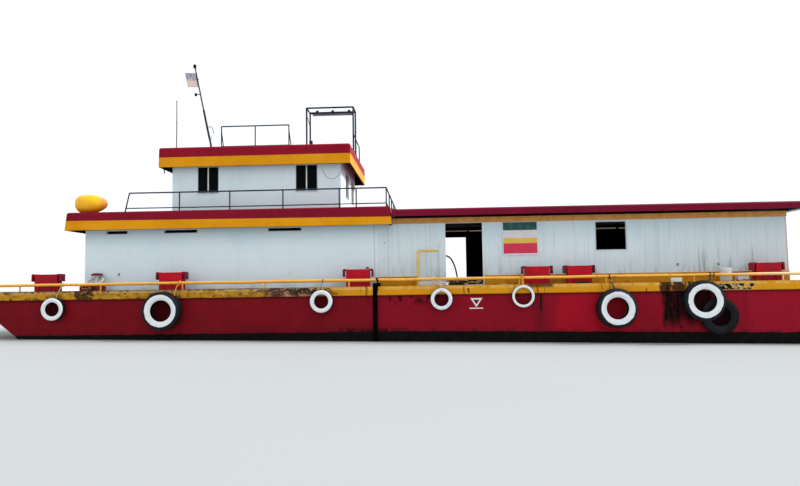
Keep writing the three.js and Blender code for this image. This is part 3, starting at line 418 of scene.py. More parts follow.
def rail_paint():
    look = Look("rail_paint", 0xF4AA32, 0.36, shine=0.3)
    look.mottle(0xDE8E1E, 0xFAC058, 2.2, 0.45)
    look.cover(look.x.rise(8.6, 11.2) * 0.8, 0xF6D6B0)
    # Painted highlight on the top of the pipe and painted shade on its underside
    facing = look.upward()
    look.cover(facing.rise(0.1, 0.8) * 0.5, 0xF8CC74)
    look.cover(facing.rise(-0.2, -0.9) * 0.5, 0x965C16)
    look.rust(9.0, 0.68, 0.8)
    look.grain(60, 0.0008)
    return look.done()


def faint_lines(look, shift=0.0, amount=0.3):
    """Thin upright lines a little darker than the paint."""
    lines = look.noise(1.0, 5.0, (7.0, 7.0, 0.1), shift, 0.7)
    look.cover(lines.rise(0.57, 0.62) * lines.rise(0.68, 0.64) * amount, 0x96A6B0)


def upright_seam(look, x):
    return look.x.band(x - 0.006, x + 0.006, 0.004)


# Columns: x, how dark
WALL_SEAMS = [(-1.79, 0.55), (-1.765, 0.25)]
SHED_SEAMS = [(-1.675, 0.5), (-1.336, 0.5)]


def wall_paint():
    look = Look("wall_paint", 0xE0EDF3, 0.6, shine=0.15)
    look.mottle(0xD4E5ED, 0xE4F0F5, 0.4, 0.6)
    look.mottle(0xD0DFE6, 0xE6F0F5, 3.0, 0.12, 3.0)
    # Painted shade under the eaves, darker towards the top of the wall
    eave_shade = look.z.rise(3.9, 4.75)
    lower = look.z.rise(5.15, 5.1)
    look.cover(eave_shade * lower * 0.6, 0xB8CCD8)
    faint_lines(look, 2.0, 0.05)
    look.streaks(0xBEC7CA, 0.15, 5.0, 0.56, 0.72)
    foot = look.z.rise(DECK + 0.4, DECK)
    look.cover(foot * look.noise(2.4, 5.0).rise(0.42, 0.66) * 0.5, 0xB0ACA0)
    for x, strength in WALL_SEAMS:
        look.cover(upright_seam(look, x) * lower * strength, 0x808E96)
    look.rust(6.0, 0.745, 0.6)
    look.bump(look.noise(0.9, 2.0), 0.02)
    look.grain(45, 0.0006)
    return look.done()


# Small marks on the shed's side. Columns: x, z, radius
SHED_SPOTS = [(-1.448, 4.034, 0.035), (-1.472, 3.475, 0.03), (-1.4, 3.42, 0.015)]


def shed_paint():
    look = Look("shed_paint", 0xDAE6EB, 0.6, shine=0.15)
    look.mottle(0xCEDDE3, 0xE1EBEF, 0.4, 0.6)
    forward = look.x.rise(5.0, 11.0)
    look.cover(forward * 0.5, 0xC0CACD)
    # Painted shade under the roof's overhang, darker towards the top
    look.cover(look.z.rise(3.7, 4.65) * 0.5, 0xB4C7D1)
    faint_lines(look, 4.0, 0.2)
    look.streaks(0xAAB2B6, 0.25, 7.0, 0.55, 0.72)
    rain = look.x.rise(7.6, 8.8) * look.z.rise(4.2, 3.2)
    look.streaks(0x8E7E7A, 0.6, 9.0, 0.55, 0.66, rain, 6.0)
    damp = look.z.rise(3.4, 2.95) * look.noise(3.0, 5.0, (1.6, 1, 0.6), 8.0).rise(0.5, 0.66)
    look.cover(damp * 0.3, 0x969480)
    rib = (look.x + 1.3).maths("PINGPONG", 0.16)
    look.cover(rib.rise(0.075, 0.066) * rib.rise(0.05, 0.062) * 0.06, 0x96A6B0)
    for x, strength in SHED_SEAMS:
        look.cover(upright_seam(look, x) * strength, 0x86949C)
    for x, z, radius in SHED_SPOTS:
        look.cover(look.distance(x, z).rise(radius, radius * 0.4) * 0.6, 0x60686C)
    look.rust(6.0, 0.74, 0.6, None, 2.0)
    # Yellow coaming at the foot, brown board at the head
    across = abs(look.y)
    outside = across.rise(WALL_SIDE + 0.002, WALL_SIDE + 0.004)
    coaming = outside * look.z.rise(COAMING_TOP + EDGE, COAMING_TOP - EDGE)
    look.cover(coaming, 0xCE8A0E, 0.5)
    chips = look.noise(4.5, 6.0, shift=5.0, rough=0.65)
    look.cover(coaming * chips.rise(0.52, 0.64) * 0.5, 0xA06210, 0.7)
    look.cover(coaming * chips.rise(0.63, 0.67) * 0.85, DARK_RUST, 0.85)
    board = outside * look.z.rise(BOARD_FOOT - EDGE, BOARD_FOOT + EDGE)
    look.cover(board, 0xCE924C, 0.7)
    look.cover(board * chips.rise(0.45, 0.6) * 0.45, 0xAA723C, 0.8)
    corner = look.x.rise(11.41, 11.425) * look.z.rise(4.64, 4.63) * 0.6
    look.cover(corner, 0xC48A98)
    panel = look.x.band(0.318, 0.338, 0.006) * look.z.rise(4.02, 4.0)
    look.cover(panel * 0.4, 0x78868E)
    # Inner faces, and the gap between wall top and roof, painted near-black as shade
    inside = across.rise(WALL_SIDE - 0.03, WALL_SIDE - 0.05)
    look.cover(inside, INDOOR_SHADE, 0.9)
    look.cover(look.z.rise(SHED_CEILING - EDGE, SHED_CEILING + EDGE), INDOOR_SHADE, 0.9)
    look.bump(look.noise(0.9, 2.0), 0.012)
    look.grain(45, 0.0006)
    return look.done()


def roof_paint(name, red, boundary, slope, edges, daylight_lip=None):
    """Dark red over yellow, with painted shade on the undersides. Inside its edges (from x, to x, half
    width) the tray is painted dark as shade, but for a lip painted near-white as daylight through the gap.
    """
    look = Look(name, red, 0.55, shine=0.08)
    dark, light = [tuple(min(1.0, c * share) for c in linear(red)[:3]) + (1.0,) for share in (0.72, 1.22)]
    look.mottle(dark, light, 0.8, 0.5)
    look.streaks(dark, 0.4, 6.0, 0.56, 0.7)
    look.rust(3.0, 0.72, 0.6)
    height = look.x.maths("MULTIPLY_ADD", -slope, look.z)
    yellow = height.rise(boundary + 0.006, boundary)
    look.cover(yellow, 0xDE9408, 0.5)
    fade = look.noise(1.2, 5.0, shift=4.0)
    look.cover(yellow * fade.rise(0.48, 0.64) * 0.35, 0xC87E08)
    look.cover(yellow * fade.rise(0.5, 0.34) * 0.35, 0xE6A220)
    rub = look.noise(3.0, 5.0, (0.35, 1, 3.0), 12.0, 0.65)
    look.cover(yellow * rub.rise(0.56, 0.66) * 0.3, 0xB8700C)
    chips = look.noise(8.0, 6.0, shift=1.0, rough=0.65)
    look.cover(yellow * chips.rise(0.68, 0.71) * 0.85, RUST, 0.85)
    facing = look.upward()
    top = facing.rise(0.6, 0.9)
    worn = look.noise(2.2, 7.0, shift=9.0, rough=0.72)
    look.cover(top * 0.35, 0x68282E, 0.8)
    look.cover(top * worn.rise(0.5, 0.66) * 0.4, 0x805448, 0.85)
    look.cover(top * worn.rise(0.48, 0.36) * 0.4, 0x42181C, 0.8)
    # Painted shade on the undersides
    look.cover(facing.rise(-0.6, -0.8), 0x2E2C22, 0.8)
    aft, fore, side = edges
    across = abs(look.y).rise(side + 0.003, side - 0.003)
    along = look.x.rise(aft - 0.003, aft + 0.003) * look.x.rise(fore + 0.003, fore - 0.003)
    # Painted shade on the tray's inner faces, and a near-white lip painted as daylight through the gap
    shaded_within = across * along * facing.rise(0.8, 0.6)
    look.cover(shaded_within, 0x10100E, 0.9)
    if daylight_lip:
        look.cover(shaded_within * look.z.band(*daylight_lip), 0xFCFCFA)
    look.bump(look.noise(0.8, 2.0), 0.02)
    look.grain(40, 0.001)
    return look.done()


def bollard_paint():
    """Red, darker on the ears that reach furthest out."""
    look = Look("bollard_paint", 0xBA1024, 0.45, shine=0.1)
    look.mottle(0x8C0A1C, 0xCE1A2E, 2.4, 0.5)
    look.streaks(0x700A18, 0.4, 12.0, 0.55, 0.7)
    look.rust(9.0, 0.7, 0.8)
    ends = abs(look.x)
    look.cover(ends.rise(10.0, 10.5) * 0.55, 0x8E182A)
    for x in BOLLARDS_X:
        away = abs(look.x - x)
        ears = away.rise(BOLLARD_BODY + 0.005, BOLLARD_BODY + 0.03) * away.rise(0.55, 0.54)
        amount = 0.4 if abs(x) > 10 else 0.8
        look.cover(ears * look.z.rise(DECK + 0.2, DECK + 0.25) * amount, 0x540E2A)
    plate = look.z.rise(DECK + 0.03, DECK + 0.015)
    look.cover(plate * 0.8, 0x6E4E32, 0.85)
    look.grain(45, 0.0015)
    return look.done()


def dark_paint():
    look = Look("dark_paint", 0x222A36, 0.5, shine=0.15)
    look.mottle(0x141A22, 0x363E4A, 2.0, 0.6)
    look.rust(10.0, 0.68, 0.8)
    look.grain(60, 0.0008)
    return look.done()


def rubber():
    """Old tyre rubber. The paint attribute is 1 at the edge of the white ring and grows outwards."""
    look = Look("tyre_rubber", 0x12161C, 0.65, shine=0.2)
    # The paler bluish tone of this mottle is painted sheen
    look.mottle(0x090B0E, 0x26303C, 4.0, 0.5)
    # Blacker forward of x 8.9
    darker_forward = look.x.rise(8.9, 9.0)
    look.cover(darker_forward * 0.85, 0x050708)
    look.cover(look.noise(9.0, 6.0, shift=3.0).rise(0.58, 0.7) * 0.3, 0x424240, 0.9)
    ring = Field(look, look.node("Attribute", attribute_name="paint").outputs["Fac"])
    edge = ring.wavy(look.noise(14.0, 4.0), 0.07)
    edge = edge.wavy(look.noise(3.0, 2.0, shift=6.0), 0.09)
    painted = edge.rise(1.012, 0.992)
    worn = look.noise(22.0, 5.0, shift=5.0, rough=0.65)
    kept = painted * worn.rise(0.76, 0.68)
    look.cover(kept, 0xE8ECEE, 0.6)
    scuffs = look.noise(5.0, 6.0, shift=8.0, rough=0.7).rise(0.52, 0.72)
    look.cover(kept * scuffs * 0.5, 0xB0BABE, 0.75)
    look.grain(70, 0.0015)
    return look.done()


def plain(name, colour, dark, light, roughness=0.55, metallic=0.0, rust=None, scale=3.0, shine=0.2):
    """A lesser finish: two tones, and rust where it has a threshold."""
    look = Look(name, colour, roughness, metallic, shine)
    look.mottle(dark, light, scale, 0.6)
    if rust is not None:
        look.rust(9.0, rust, 0.85)
    look.grain(60, 0.001)
    return look.done()


# Lower edges of the sign's green, white and yellow bands
SIGN_BANDS = (4.372, 4.12, 3.945)


def sign_paint():
    """Green, white, yellow and red bands with a pale edge."""
    low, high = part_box("sign")
    green, white, yellow = SIGN_BANDS
    look = Look("sign_paint", 0xD6D8DC, 0.45)
    inside = look.x.band(low.x + 0.02, high.x - 0.012) * look.z.rise(low.z + 0.06, low.z + 0.065)
    # Columns: from, to, colour
    bands = [
        (green, high.z + 0.01, 0x0C4E4A),
        (white, green, 0xD8D2D6),
        (yellow, white, 0xE2BA4A),
        (low.z, yellow, 0xD63052),
    ]
    for bottom, top, colour in bands:
        look.cover(inside * look.z.band(bottom, top, 0.001), colour)
    look.mottle(0x96827E, 0xF0EAE6, 2.5, 0.12)
    look.streaks(0x8C746C, 0.25, 9.0, 0.56, 0.7)
    look.grain(60, 0.0006)
    return look.done()


THREAD = 0.0016


def flag_cloth():
    """Woven, a faded tone over a paler one, and a warmer tail."""
    look = Look("flag_cloth", 0xE8D0C6, 0.85)
    look.shader.inputs["Sheen Weight"].default_value = 0.3
    look.mottle(0xD8BCB4, 0xF0E0D4, 4.0, 0.6)
    for axis in (look.x, look.z):
        weave = axis.maths("PINGPONG", THREAD)
        look.bump(weave * (1 / THREAD), 0.0003)
    low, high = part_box("flag")
    folds = look.z.wavy(look.noise(4.0, 4.0), 0.22)
    middle = (low.z + high.z) / 2
    above = folds.rise(middle - 0.06, middle + 0.06)
    look.cover(above * 0.85, 0x9692AE)
    upright = look.noise(1.0, 4.0, (26.0, 26.0, 5.0), 2.0, 0.6)
    look.cover(above * upright.rise(0.5, 0.6) * 0.8, 0xDED4D8)
    look.cover(above * upright.rise(0.42, 0.36) * 0.6, 0x5C5880)
    tail = (look.x + look.z).rise(low.x + low.z + 0.32, low.x + low.z + 0.1)
    look.cover(tail * 0.6, 0xDEC878)
    return look.done()


def float_plastic():
    """Yellow above, deeper orange towards the bottom and at its tip."""
    low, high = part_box("float")
    look = Look("float_plastic", 0xF6B60C, 0.4, shine=0.3)
    look.mottle(0xECA408, 0xFAC628, 3.0, 0.5)
    tall = high.z - low.z
    look.cover(look.z.rise(low.z + 0.45 * tall, low.z + 0.1 * tall) * 0.7, 0xE2860E)
    tip = look.x.wavy(look.noise(6.0, 3.0), 0.1).rise(high.x - 0.22, high.x - 0.06)
    look.cover(tip * 0.85, 0xF08838)
    look.grain(60, 0.001)
    return look.done()


def rope_look(name, colour, dark):
    look = Look(name, colour, 0.85)
    look.mottle(dark, PALE, 8.0, 0.5)
    look.grain(160, 0.001)
    return look.done()


def pane_glass():
    """Tinted glass with dust on it, painted near-black as the shade of the room behind."""
    look = Look("pane_glass", 0x050708, 0.3, shine=0.03)
    dust = look.noise(3.0, 6.0, shift=2.0, rough=0.7)
    look.cover(dust.rise(0.5, 0.75) * 0.08, 0x3C4244, 0.5)
    look.grain(3, 0.004, 2.0)
    return look.done()


HULL_PAINT = hull_paint()
BELT_PAINT = belt_paint()
RAIL_PAINT = rail_paint()
WALL_PAINT = wall_paint()
SHED_PAINT = shed_paint()
HOUSE_ROOF_PAINT = roof_paint("house_roof_paint", 0x820D26, 4.853, -0.006, (-11.945, -1.255, 3.145))
CABIN_ROOF_PAINT = roof_paint("cabin_roof_paint", 0x8E0D26, 7.135, 0.0, (-9.16, -2.63, 2.41))
SHED_ROOF_PAINT = roof_paint("shed_roof_paint", 0x760C2A, 4.5, 0.0, (-1.155, 11.9775, 3.1775), (4.872, 4.91))
BOLLARD_PAINT = bollard_paint()
DARK_PAINT = dark_paint()
RUBBER = rubber()
SIGN_PAINT = sign_paint()
FLAG_CLOTH = flag_cloth()
PANE_GLASS = pane_glass()
TRIM_PAINT = plain("trim_paint", 0xBECAD0, 0xA0ACB2, 0xD2DADE, 0.5, 0.0, 0.72)
PALE_PAINT = plain("pale_paint", 0xE0E4DE, 0xBEC6C0, 0xECEEE8, 0.5, 0.0, 0.74)
DOOR_PAINT = plain("door_paint", 0xD6E2E7, 0xCCDAE1, 0xDCE7EC, 0.55, 0.0, 0.76)
BLACK_STEEL = plain("black_steel", 0x080506, 0x040304, 0x140A0C, 0.7, shine=0.02)
DARK_STEEL = plain("dark_steel", 0x222122, 0x121212, 0x3E3834, 0.6, 0.0, 0.66)
YELLOW_PAINT = plain("yellow_paint", 0xCE901A, 0xA06610, 0xDCAA46, 0.5, 0.0, 0.68)
HOOP_PAINT = plain("hoop_paint", 0xDEBE68, 0xBE963E, 0xEAD696, 0.5, 0.0, 0.7)
BRONZE = plain("bronze", 0x967440, 0x5C5438, 0xB29258, 0.4, 0.85, None, 6.0)
RING_PLASTIC = plain("ring_plastic", 0xDEDAD6, 0xB8AEA8, 0xECEAE8, 0.55)
FLOAT_PLASTIC = float_plastic()
PLUM_PAINT = plain("plum_paint", 0x7A0C34, 0x540A28, 0x961842, 0.45, 0.0, 0.7, shine=0.1)
HOSE_RUBBER = plain("hose_rubber", 0x16181A, 0x0C0D0E, 0x2C3032, 0.6)
CABLE_SKIN = plain("cable_skin", 0x6A727A, 0x4C5258, 0x8C9296, 0.6)
PALE_ROPE = rope_look("pale_rope", 0xD8B47C, 0x967040)
ORANGE_ROPE = rope_look("orange_rope", 0xDE8C30, 0xA0581E)
OLD_ROPE = rope_look("old_rope", 0x422E26, 0x161212)
LAMP_LENS = plain("lamp_lens", 0xCED0CC, 0xA0A4A4, 0xE4E6E4, 0.2)
DEBRIS = plain("debris", 0x382C24, 0x161414, 0x78543C, 0.85, 0.0, 0.6, 6.0)
WORN_GREY = plain("worn_grey", 0x60606C, 0x42424E, 0x84808A, 0.6)
PURPLE_SKIN = plain("purple_skin", 0x4A1E5C, 0x2E143C, 0x683C7A, 0.6)


# Meshes


def frames_along(path, closed=False):
    """Two directions across each point of a path, that don't twist along it."""
    count = len(path)
    ways = []
    for i in range(count):
        before = path[i - 1] if i or closed else path[0]
        after = path[(i + 1) % count] if i < count - 1 or closed else path[-1]
        ways.append((after - before).normalized())
    across = ways[0].orthogonal().normalized()
    found = []
    for way in ways:
        across = (across - way * across.dot(way)).normalized()
        found.append((across, way.cross(across)))
    return found


def smooth_path(points, steps=8):
    """Points on a smooth curve through the ones given."""
    given = [Vector(p) for p in points]
    padded = [given[0] * 2 - given[1], *given, given[-1] * 2 - given[-2]]
    path = []
    for a, b, c, d in zip(padded, padded[1:], padded[2:], padded[3:]):
        for i in range(steps):
            t = i / steps
            cubic = (3 * b - a - 3 * c + d) * t**3 + (2 * a - 5 * b + 4 * c - d) * t**2 + (c - a) * t
            path.append(b + cubic / 2)
    return [*path, given[-1]]


# The sides of a box whose corners come in the order of product(x, y, z)
BOX_SIDES = [(0, 1, 3, 2), (4, 6, 7, 5), (0, 4, 5, 1), (2, 3, 7, 6), (0, 2, 6, 4), (1, 5, 7, 3)]
ROPE_PITCH = 0.09


class Form:
    """Faces gathered into one mesh. kind is the number of a face's material."""

    def __init__(self):
        self.points = []
        self.faces = []
        self.kinds = []
        self.values = []

    def add(self, points, faces, kind=0, value=0.0):
        start = len(self.points)
        self.points += [tuple(p) for p in points]
        self.values += value if isinstance(value, list) else [value] * len(points)
        self.faces += [[start + i for i in face] for face in faces]
        self.kinds += [kind] * len(faces)

    def block(self, x, y, z, kind=0):
        """A box between pairs of X, Y and Z."""
        self.add(list(product(x, y, z)), BOX_SIDES, kind)

    def tube(self, path, radius, sides=12, kind=0, closed=False):
        path = [Vector(p) for p in path]
        count = len(path)
        radii = radius if isinstance(radius, list) else [radius] * count
        points = []
        for place, (a, b), r in zip(path, frames_along(path, closed), radii):
            for k in range(sides):
                angle = TURN * k / sides
                points.append(place + (a * math.cos(angle) + b * math.sin(angle)) * r)
        faces = []
        for i in range(count if closed else count - 1):
            here, there = i * sides, (i + 1) % count * sides
            for k in range(sides):
                after = (k + 1) % sides
                faces.append((here + k, here + after, there + after, there + k))
        if not closed:
            faces += [tuple(range(sides)), tuple(range((count - 1) * sides, count * sides))]
        self.add(points, faces, kind)

    def rope(self, path, radius):
        """Three strands laid round each other."""
        path = [Vector(p) for p in path]
        frames = frames_along(path)
        for strand in range(3):
            turned = []
            run = 0.0
            for i, (place, (a, b)) in enumerate(zip(path, frames)):
                run += (place - path[i - 1]).length if i else 0.0
                angle = TURN * (strand / 3 + run / ROPE_PITCH)
                turned.append(place + (a * math.cos(angle) + b * math.sin(angle)) * radius * 0.5)
            self.tube(turned, radius * 0.55, 6)

    def lathe(self, profile, centre, axis, sides=32, closed=False, kind=0, values=None):
        """A profile of rows (distance from the axis, distance along it), carried round the axis."""
        first, second = [(1, 2), (2, 0), (0, 1)][axis]
        points = []
        for k in range(sides):
            angle = TURN * k / sides
            for r, along in profile:
                point = Vector(centre)
                point[first] += r * math.cos(angle)
                point[second] += r * math.sin(angle)
                point[axis] += along
                points.append(point)
        count = len(profile)
        faces = []
        for k in range(sides):
            here, there = k * count, (k + 1) % sides * count
            for i in range(count if closed else count - 1):
                after = (i + 1) % count
                faces.append((here + i, here + after, there + after, there + i))
        self.add(points, faces, kind, 0.0 if values is None else values * sides)

    def prism(self, outline, axis, span):
        """An outline across the two other axes, in their order, carried between two places on the axis."""
        others = [i for i in range(3) if i != axis]
        points = []
        for along in span:
            for u, v in outline:
                point = [0.0, 0.0, 0.0]
                point[axis], point[others[0]], point[others[1]] = along, u, v
                points.append(point)
        count = len(outline)
        faces = [(i, (i + 1) % count, count + (i + 1) % count, count + i) for i in range(count)]
        self.add(points, [*faces, tuple(range(count)), tuple(range(count, 2 * count))])

    def done(self, name, looks, body="barge", slot=None, replaces=(), bevel=0.0, sharp=35.0, attribute=None):
        mesh = bpy.data.meshes.new(name)
        mesh.from_pydata(self.points, [], self.faces)
        for look in looks if isinstance(looks, list) else [looks]:
            mesh.materials.append(look)
        mesh.polygons.foreach_set("material_index", self.kinds)
        if attribute:
            mesh.attributes.new(attribute, "FLOAT", "POINT").data.foreach_set("value", self.values)
        shape = bmesh.new()
        shape.from_mesh(mesh)
        bmesh.ops.remove_doubles(shape, verts=shape.verts, dist=1e-5)
        bmesh.ops.recalc_face_normals(shape, faces=shape.faces)
        shape.to_mesh(mesh)
        shape.free()
        mesh.polygons.foreach_set("use_smooth", [True] * len(mesh.polygons))
        mesh.set_sharp_from_angle(angle=math.radians(sharp))
        piece = stand(name, mesh)
        if bevel:
            edges = piece.modifiers.new("edges", "BEVEL")
            edges.width = bevel
            edges.segments = 2
            edges.limit_method = "ANGLE"
            edges.angle_limit = math.radians(40)
            edges.harden_normals = True
        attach(piece, body)
        if replaces:
            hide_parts(*replaces)
        return piece


# Cords: the hose in the shed doorway and the cable under the wheelhouse eave

HOSE_DIAMETER = 0.05
HOSE_Y = -2.48
# Columns: x, z
HOSE_ROUTE = [
    (0.5003, 3.59),
    (0.56, 3.59),
    (0.64, 3.57),
    (0.72, 3.5),
    (0.8, 3.37),
    (0.865, 3.19),
    (0.905, 3.01),
    (0.925, 2.87),
    (0.93, 2.78),
    (0.93, 2.7203),
]

CABLE_DIAMETER = 0.016
CABLE_Y = -2.42
# Columns: x, z
CABLE_ROUTE = [
    (-3.583, 6.7747),
    (-3.583, 6.71),
    (-3.548, 6.6),
    (-3.483, 6.45),
    (-3.393, 6.335),
    (-3.303, 6.285),
    (-3.2235, 6.272),
    (-3.144, 6.285),
    (-3.054, 6.335),
    (-2.964, 6.45),
    (-2.899, 6.6),
    (-2.864, 6.71),
    (-2.864, 6.7747),
]


def make_cord(name, route, y, diameter, look, replaced):
    path = smooth_path([(x, y, z) for x, z in route])
    data = bpy.data.curves.new(name, "CURVE")
    data.dimensions = "3D"
    spline = data.splines.new("POLY")
    spline.points.add(len(path) - 1)
    for point, place in zip(spline.points, path):
        point.co = (*place, 1)
    data.bevel_depth = diameter / 2
    data.bevel_resolution = 4
    data.use_fill_caps = True
    data.materials.append(look)
    spline.use_smooth = True
    piece = stand(name, data)
    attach(piece, "barge")
    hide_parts(replaced)


make_cord("deck_hose", HOSE_ROUTE, HOSE_Y, HOSE_DIAMETER, HOSE_RUBBER, "hose")
make_cord("eave_cable", CABLE_ROUTE, CABLE_Y, CABLE_DIAMETER, CABLE_SKIN, "cable")


# Flag: thin cloth in soft folds, fast along the mast

FLAG_COLUMNS = 40
FLAG_ROWS = 36
FLAG_FLY = 0.4
FLAG_WAVE = 0.035
FLAG_RIPPLE = 0.007
FLAG_Y = -0.897
FLAG_THICK = 0.0015


def make_flag():
    low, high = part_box("flag")
    drop = high.z - low.z
    hoist = low.x + FLAG_FLY
    lean = (high.x - hoist) / drop
    form = Form()
    points = []
    for j in range(FLAG_ROWS + 1):
        v = j / FLAG_ROWS
        for i in range(FLAG_COLUMNS + 1):
            u = i / FLAG_COLUMNS
            fold = FLAG_WAVE * u * math.sin(TURN * (u + 0.12 * v))
            ripple = FLAG_RIPPLE * u * math.sin(TURN * (3.1 * u - 0.8 * v) + 1.0)
            x = hoist - FLAG_FLY * u + lean * drop * v
            points.append((x, FLAG_Y + fold + ripple, high.z - drop * v))
    wide = FLAG_COLUMNS + 1
    corners = [j * wide + i for j in range(FLAG_ROWS) for i in range(FLAG_COLUMNS)]
    form.add(points, [(c, c + 1, c + wide + 1, c + wide) for c in corners])
    piece = form.done("flag_sheet", FLAG_CLOTH, slot="flag_cloth", replaces=["flag"], sharp=180)
    thick = piece.modifiers.new("cloth", "SOLIDIFY")
    thick.thickness = FLAG_THICK
    thick.offset = 0.0


make_flag()


# Tyres: a hollow carcass with tread blocks, hung by rope

# Halves of a tyre's section. Columns: share of the way from its bore to its tread, share of the half width
TYRE_OUTSIDE = [
    (0.045, 0.5),
    (0.0, 0.56),
    (0.012, 0.66),
    (0.09, 0.74),
    (0.18, 0.88),
    (0.33, 0.97),
    (0.5, 1.0),
    (0.68, 0.985),
    (0.8, 0.93),
    (0.88, 0.83),
    (0.918, 0.7),
    (0.928, 0.4),
]
TYRE_INSIDE = [
    (0.85, 0.3),
    (0.83, 0.62),
    (0.7, 0.82),
    (0.44, 0.88),
    (0.2, 0.72),
    (0.1, 0.56),
]
UNPAINTED = 9.0
LUG_BOTTOM = 0.9
LUG_SHARE = 0.7
TREAD_WIDTH = 0.82
TREAD_WEAR = 0.012


def tyre_profile(radius, bore, half, outboard, painted_to):
    """Rows (distance from the axis, distance along it) and their paint, right round the section."""
    rows = []
    for share, side in [(TYRE_OUTSIDE, 1), (TYRE_OUTSIDE[::-1], -1)]:
        rows += [(way, w * side) for way, w in share]
    rows += [(way, -w) for way, w in TYRE_INSIDE[::-1]] + list(TYRE_INSIDE)
    rows = [(bore + (1 - bore) * way, w) for way, w in rows]
    profile = [(r * radius, w * half) for r, w in rows]
    skin = 2 * len(TYRE_OUTSIDE)
    values = []
    for i, (r, w) in enumerate(rows):
        shown = i < skin and w * outboard > 0.6 and painted_to
        values.append(r / painted_to if shown else UNPAINTED)
    return profile, values


def tread(form, centre, radius, bore, half, rows, count, draw):
    """Blocks round a tyre, each a wedge between two radii, two angles and two widths."""
    bottom = bore + (1 - bore) * LUG_BOTTOM
    for row in range(rows):
        place = (2 * (row + 0.5) / rows - 1) * TREAD_WIDTH
        for k in range(count):
            angle = TURN * (k + 0.5 * (row % 2)) / count
            spread = TURN * LUG_SHARE / count / 2
            skew = spread * 0.5 * (1 if place > 0 else -1)
            depth = 1.0 - TREAD_WEAR * draw.random()
            edge = TREAD_WIDTH / rows * 0.84
            shoulder = 0.025 if abs(place) > 0.5 else 0.0
            corners = []
            for r, a, w in product((bottom - shoulder, depth), (-spread, spread), (-edge, edge)):
                turn = angle + a + skew * (1 if w > 0 else -1)
                across = (place + w) * half
                outer = r * radius
                place_x, place_z = centre.x + outer * math.cos(turn), centre.z + outer * math.sin(turn)
                corners.append((place_x, centre.y + across, place_z))
            form.add(corners, BOX_SIDES, 0, UNPAINTED)


# Columns: tyre, bore as a share of its radius, how far out the white paint goes, tread rows, blocks in a row
TYRES = [
    ("tyre_1_starboard", 0.6, 0.96, 3, 44),
    ("tyre_2_starboard", 0.55, 0.83, 4, 40),
    ("tyre_3_starboard", 0.61, 0.98, 3, 44),
    ("tyre_4_starboard", 0.64, 0.99, 3, 40),
    ("tyre_5_starboard", 0.75, 0.99, 3, 40),
    ("tyre_6_starboard", 0.55, 0.83, 4, 40),
    ("tyre_7_starboard", 0.56, 0.84, 4, 44),
    ("tyre_8_starboard", 0.55, 0.0, 4, 44),
    ("tyre_2_port", 0.55, 0.85, 4, 40),
    ("tyre_6_port", 0.55, 0.87, 4, 40),
    ("tyre_7_port", 0.56, 0.88, 4, 44),
    ("tyre_8_port", 0.55, 0.0, 4, 44),
]


def make_tyres():
    draw = random.Random(5)
    for node, bore, painted_to, rows, count in TYRES:
        low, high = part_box(node)
        centre = (low + high) / 2
        radius = (high.z - low.z) / 2
        half = (high.y - low.y) / 2
        outboard = -1 if centre.y < 0 else 1
        profile, values = tyre_profile(radius, bore, half, outboard, painted_to)
        form = Form()
        form.lathe(profile, centre, 1, 72, closed=True, values=values)
        tread(form, centre, radius, bore, half, rows, count, draw)
        name = node.replace("tyre", "fender")
        form.done(name, RUBBER, slot="tyre_rubber", replaces=[node], sharp=32, attribute="paint")


make_tyres()


# Rails of welded pipe

DECK_RAIL_RADIUS = 0.047
DECK_RAIL_Y = -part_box("deck_rail_starboard")[0].y - DECK_RAIL_RADIUS
DECK_RAIL_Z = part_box("deck_rail_starboard")[1].z - DECK_RAIL_RADIUS
DECK_RAIL_END = 14.45
DECK_RAIL_STEPS = 120
DECK_POSTS = [-14.35, *(-13.21 + 2.67 * i for i in range(11)), 14.35]
DECK_SLEEVES = (-11.9, -5.93, 0.06, 6.05, 12.04)
POST_RADIUS = 0.025


def bar(form, start, end, radius, bow=0.0, sides=12, steps=24, kind=0):
    """A straight pipe, slightly bent out of true."""
    start, end = Vector(start), Vector(end)
    path = []
    for i in range(steps + 1):
        t = i / steps
        path.append(start.lerp(end, t) + Vector((0, 0, -bow * math.sin(math.pi * t))))
    form.tube(path, radius, sides, kind)


def weld(form, centre, radius):
    """A lumpy bead round a pipe's foot."""
    profile = [(radius * 0.9, 0), (radius * 1.45, 0.001), (radius * 1.3, 0.012), (radius * 0.9, 0.02)]
    form.lathe(profile, centre, 2, 14, closed=True)


def make_deck_rails():
    for side, s in SIDES:
        y = s * DECK_RAIL_Y
        form = Form()
        path = []
        for i in range(DECK_RAIL_STEPS + 1):
            x = -DECK_RAIL_END + 2 * DECK_RAIL_END * i / DECK_RAIL_STEPS
            dip = 0.006 * math.sin(x * 1.3) + 0.004 * math.sin(x * 3.7 + 1)
            path.append((x, y, DECK_RAIL_Z + min(dip, 0)))
        form.tube(path, DECK_RAIL_RADIUS, 18)
        for x in DECK_POSTS:
            bar(form, (x, y, DECK), (x, y, DECK_RAIL_Z), POST_RADIUS, steps=2)
            weld(form, (x, y, DECK), POST_RADIUS)
            weld(form, (x + 0.001, y, DECK_RAIL_Z - DECK_RAIL_RADIUS - 0.008), POST_RADIUS)
        # Sleeves where lengths of pipe meet
        inner, outer = DECK_RAIL_RADIUS * 0.9, DECK_RAIL_RADIUS + 0.003
        for x in DECK_SLEEVES:
            sleeve = [(inner, -0.012), (outer, -0.009), (outer, 0.009), (inner, 0.012)]
            form.lathe(sleeve, (x, y, DECK_RAIL_Z), 0, 18, closed=True)
        node = f"deck_rail_{side}"
        form.done(f"edge_rail_{side}", RAIL_PAINT, slot="belt_paint", replaces=[node], sharp=40)


make_deck_rails()

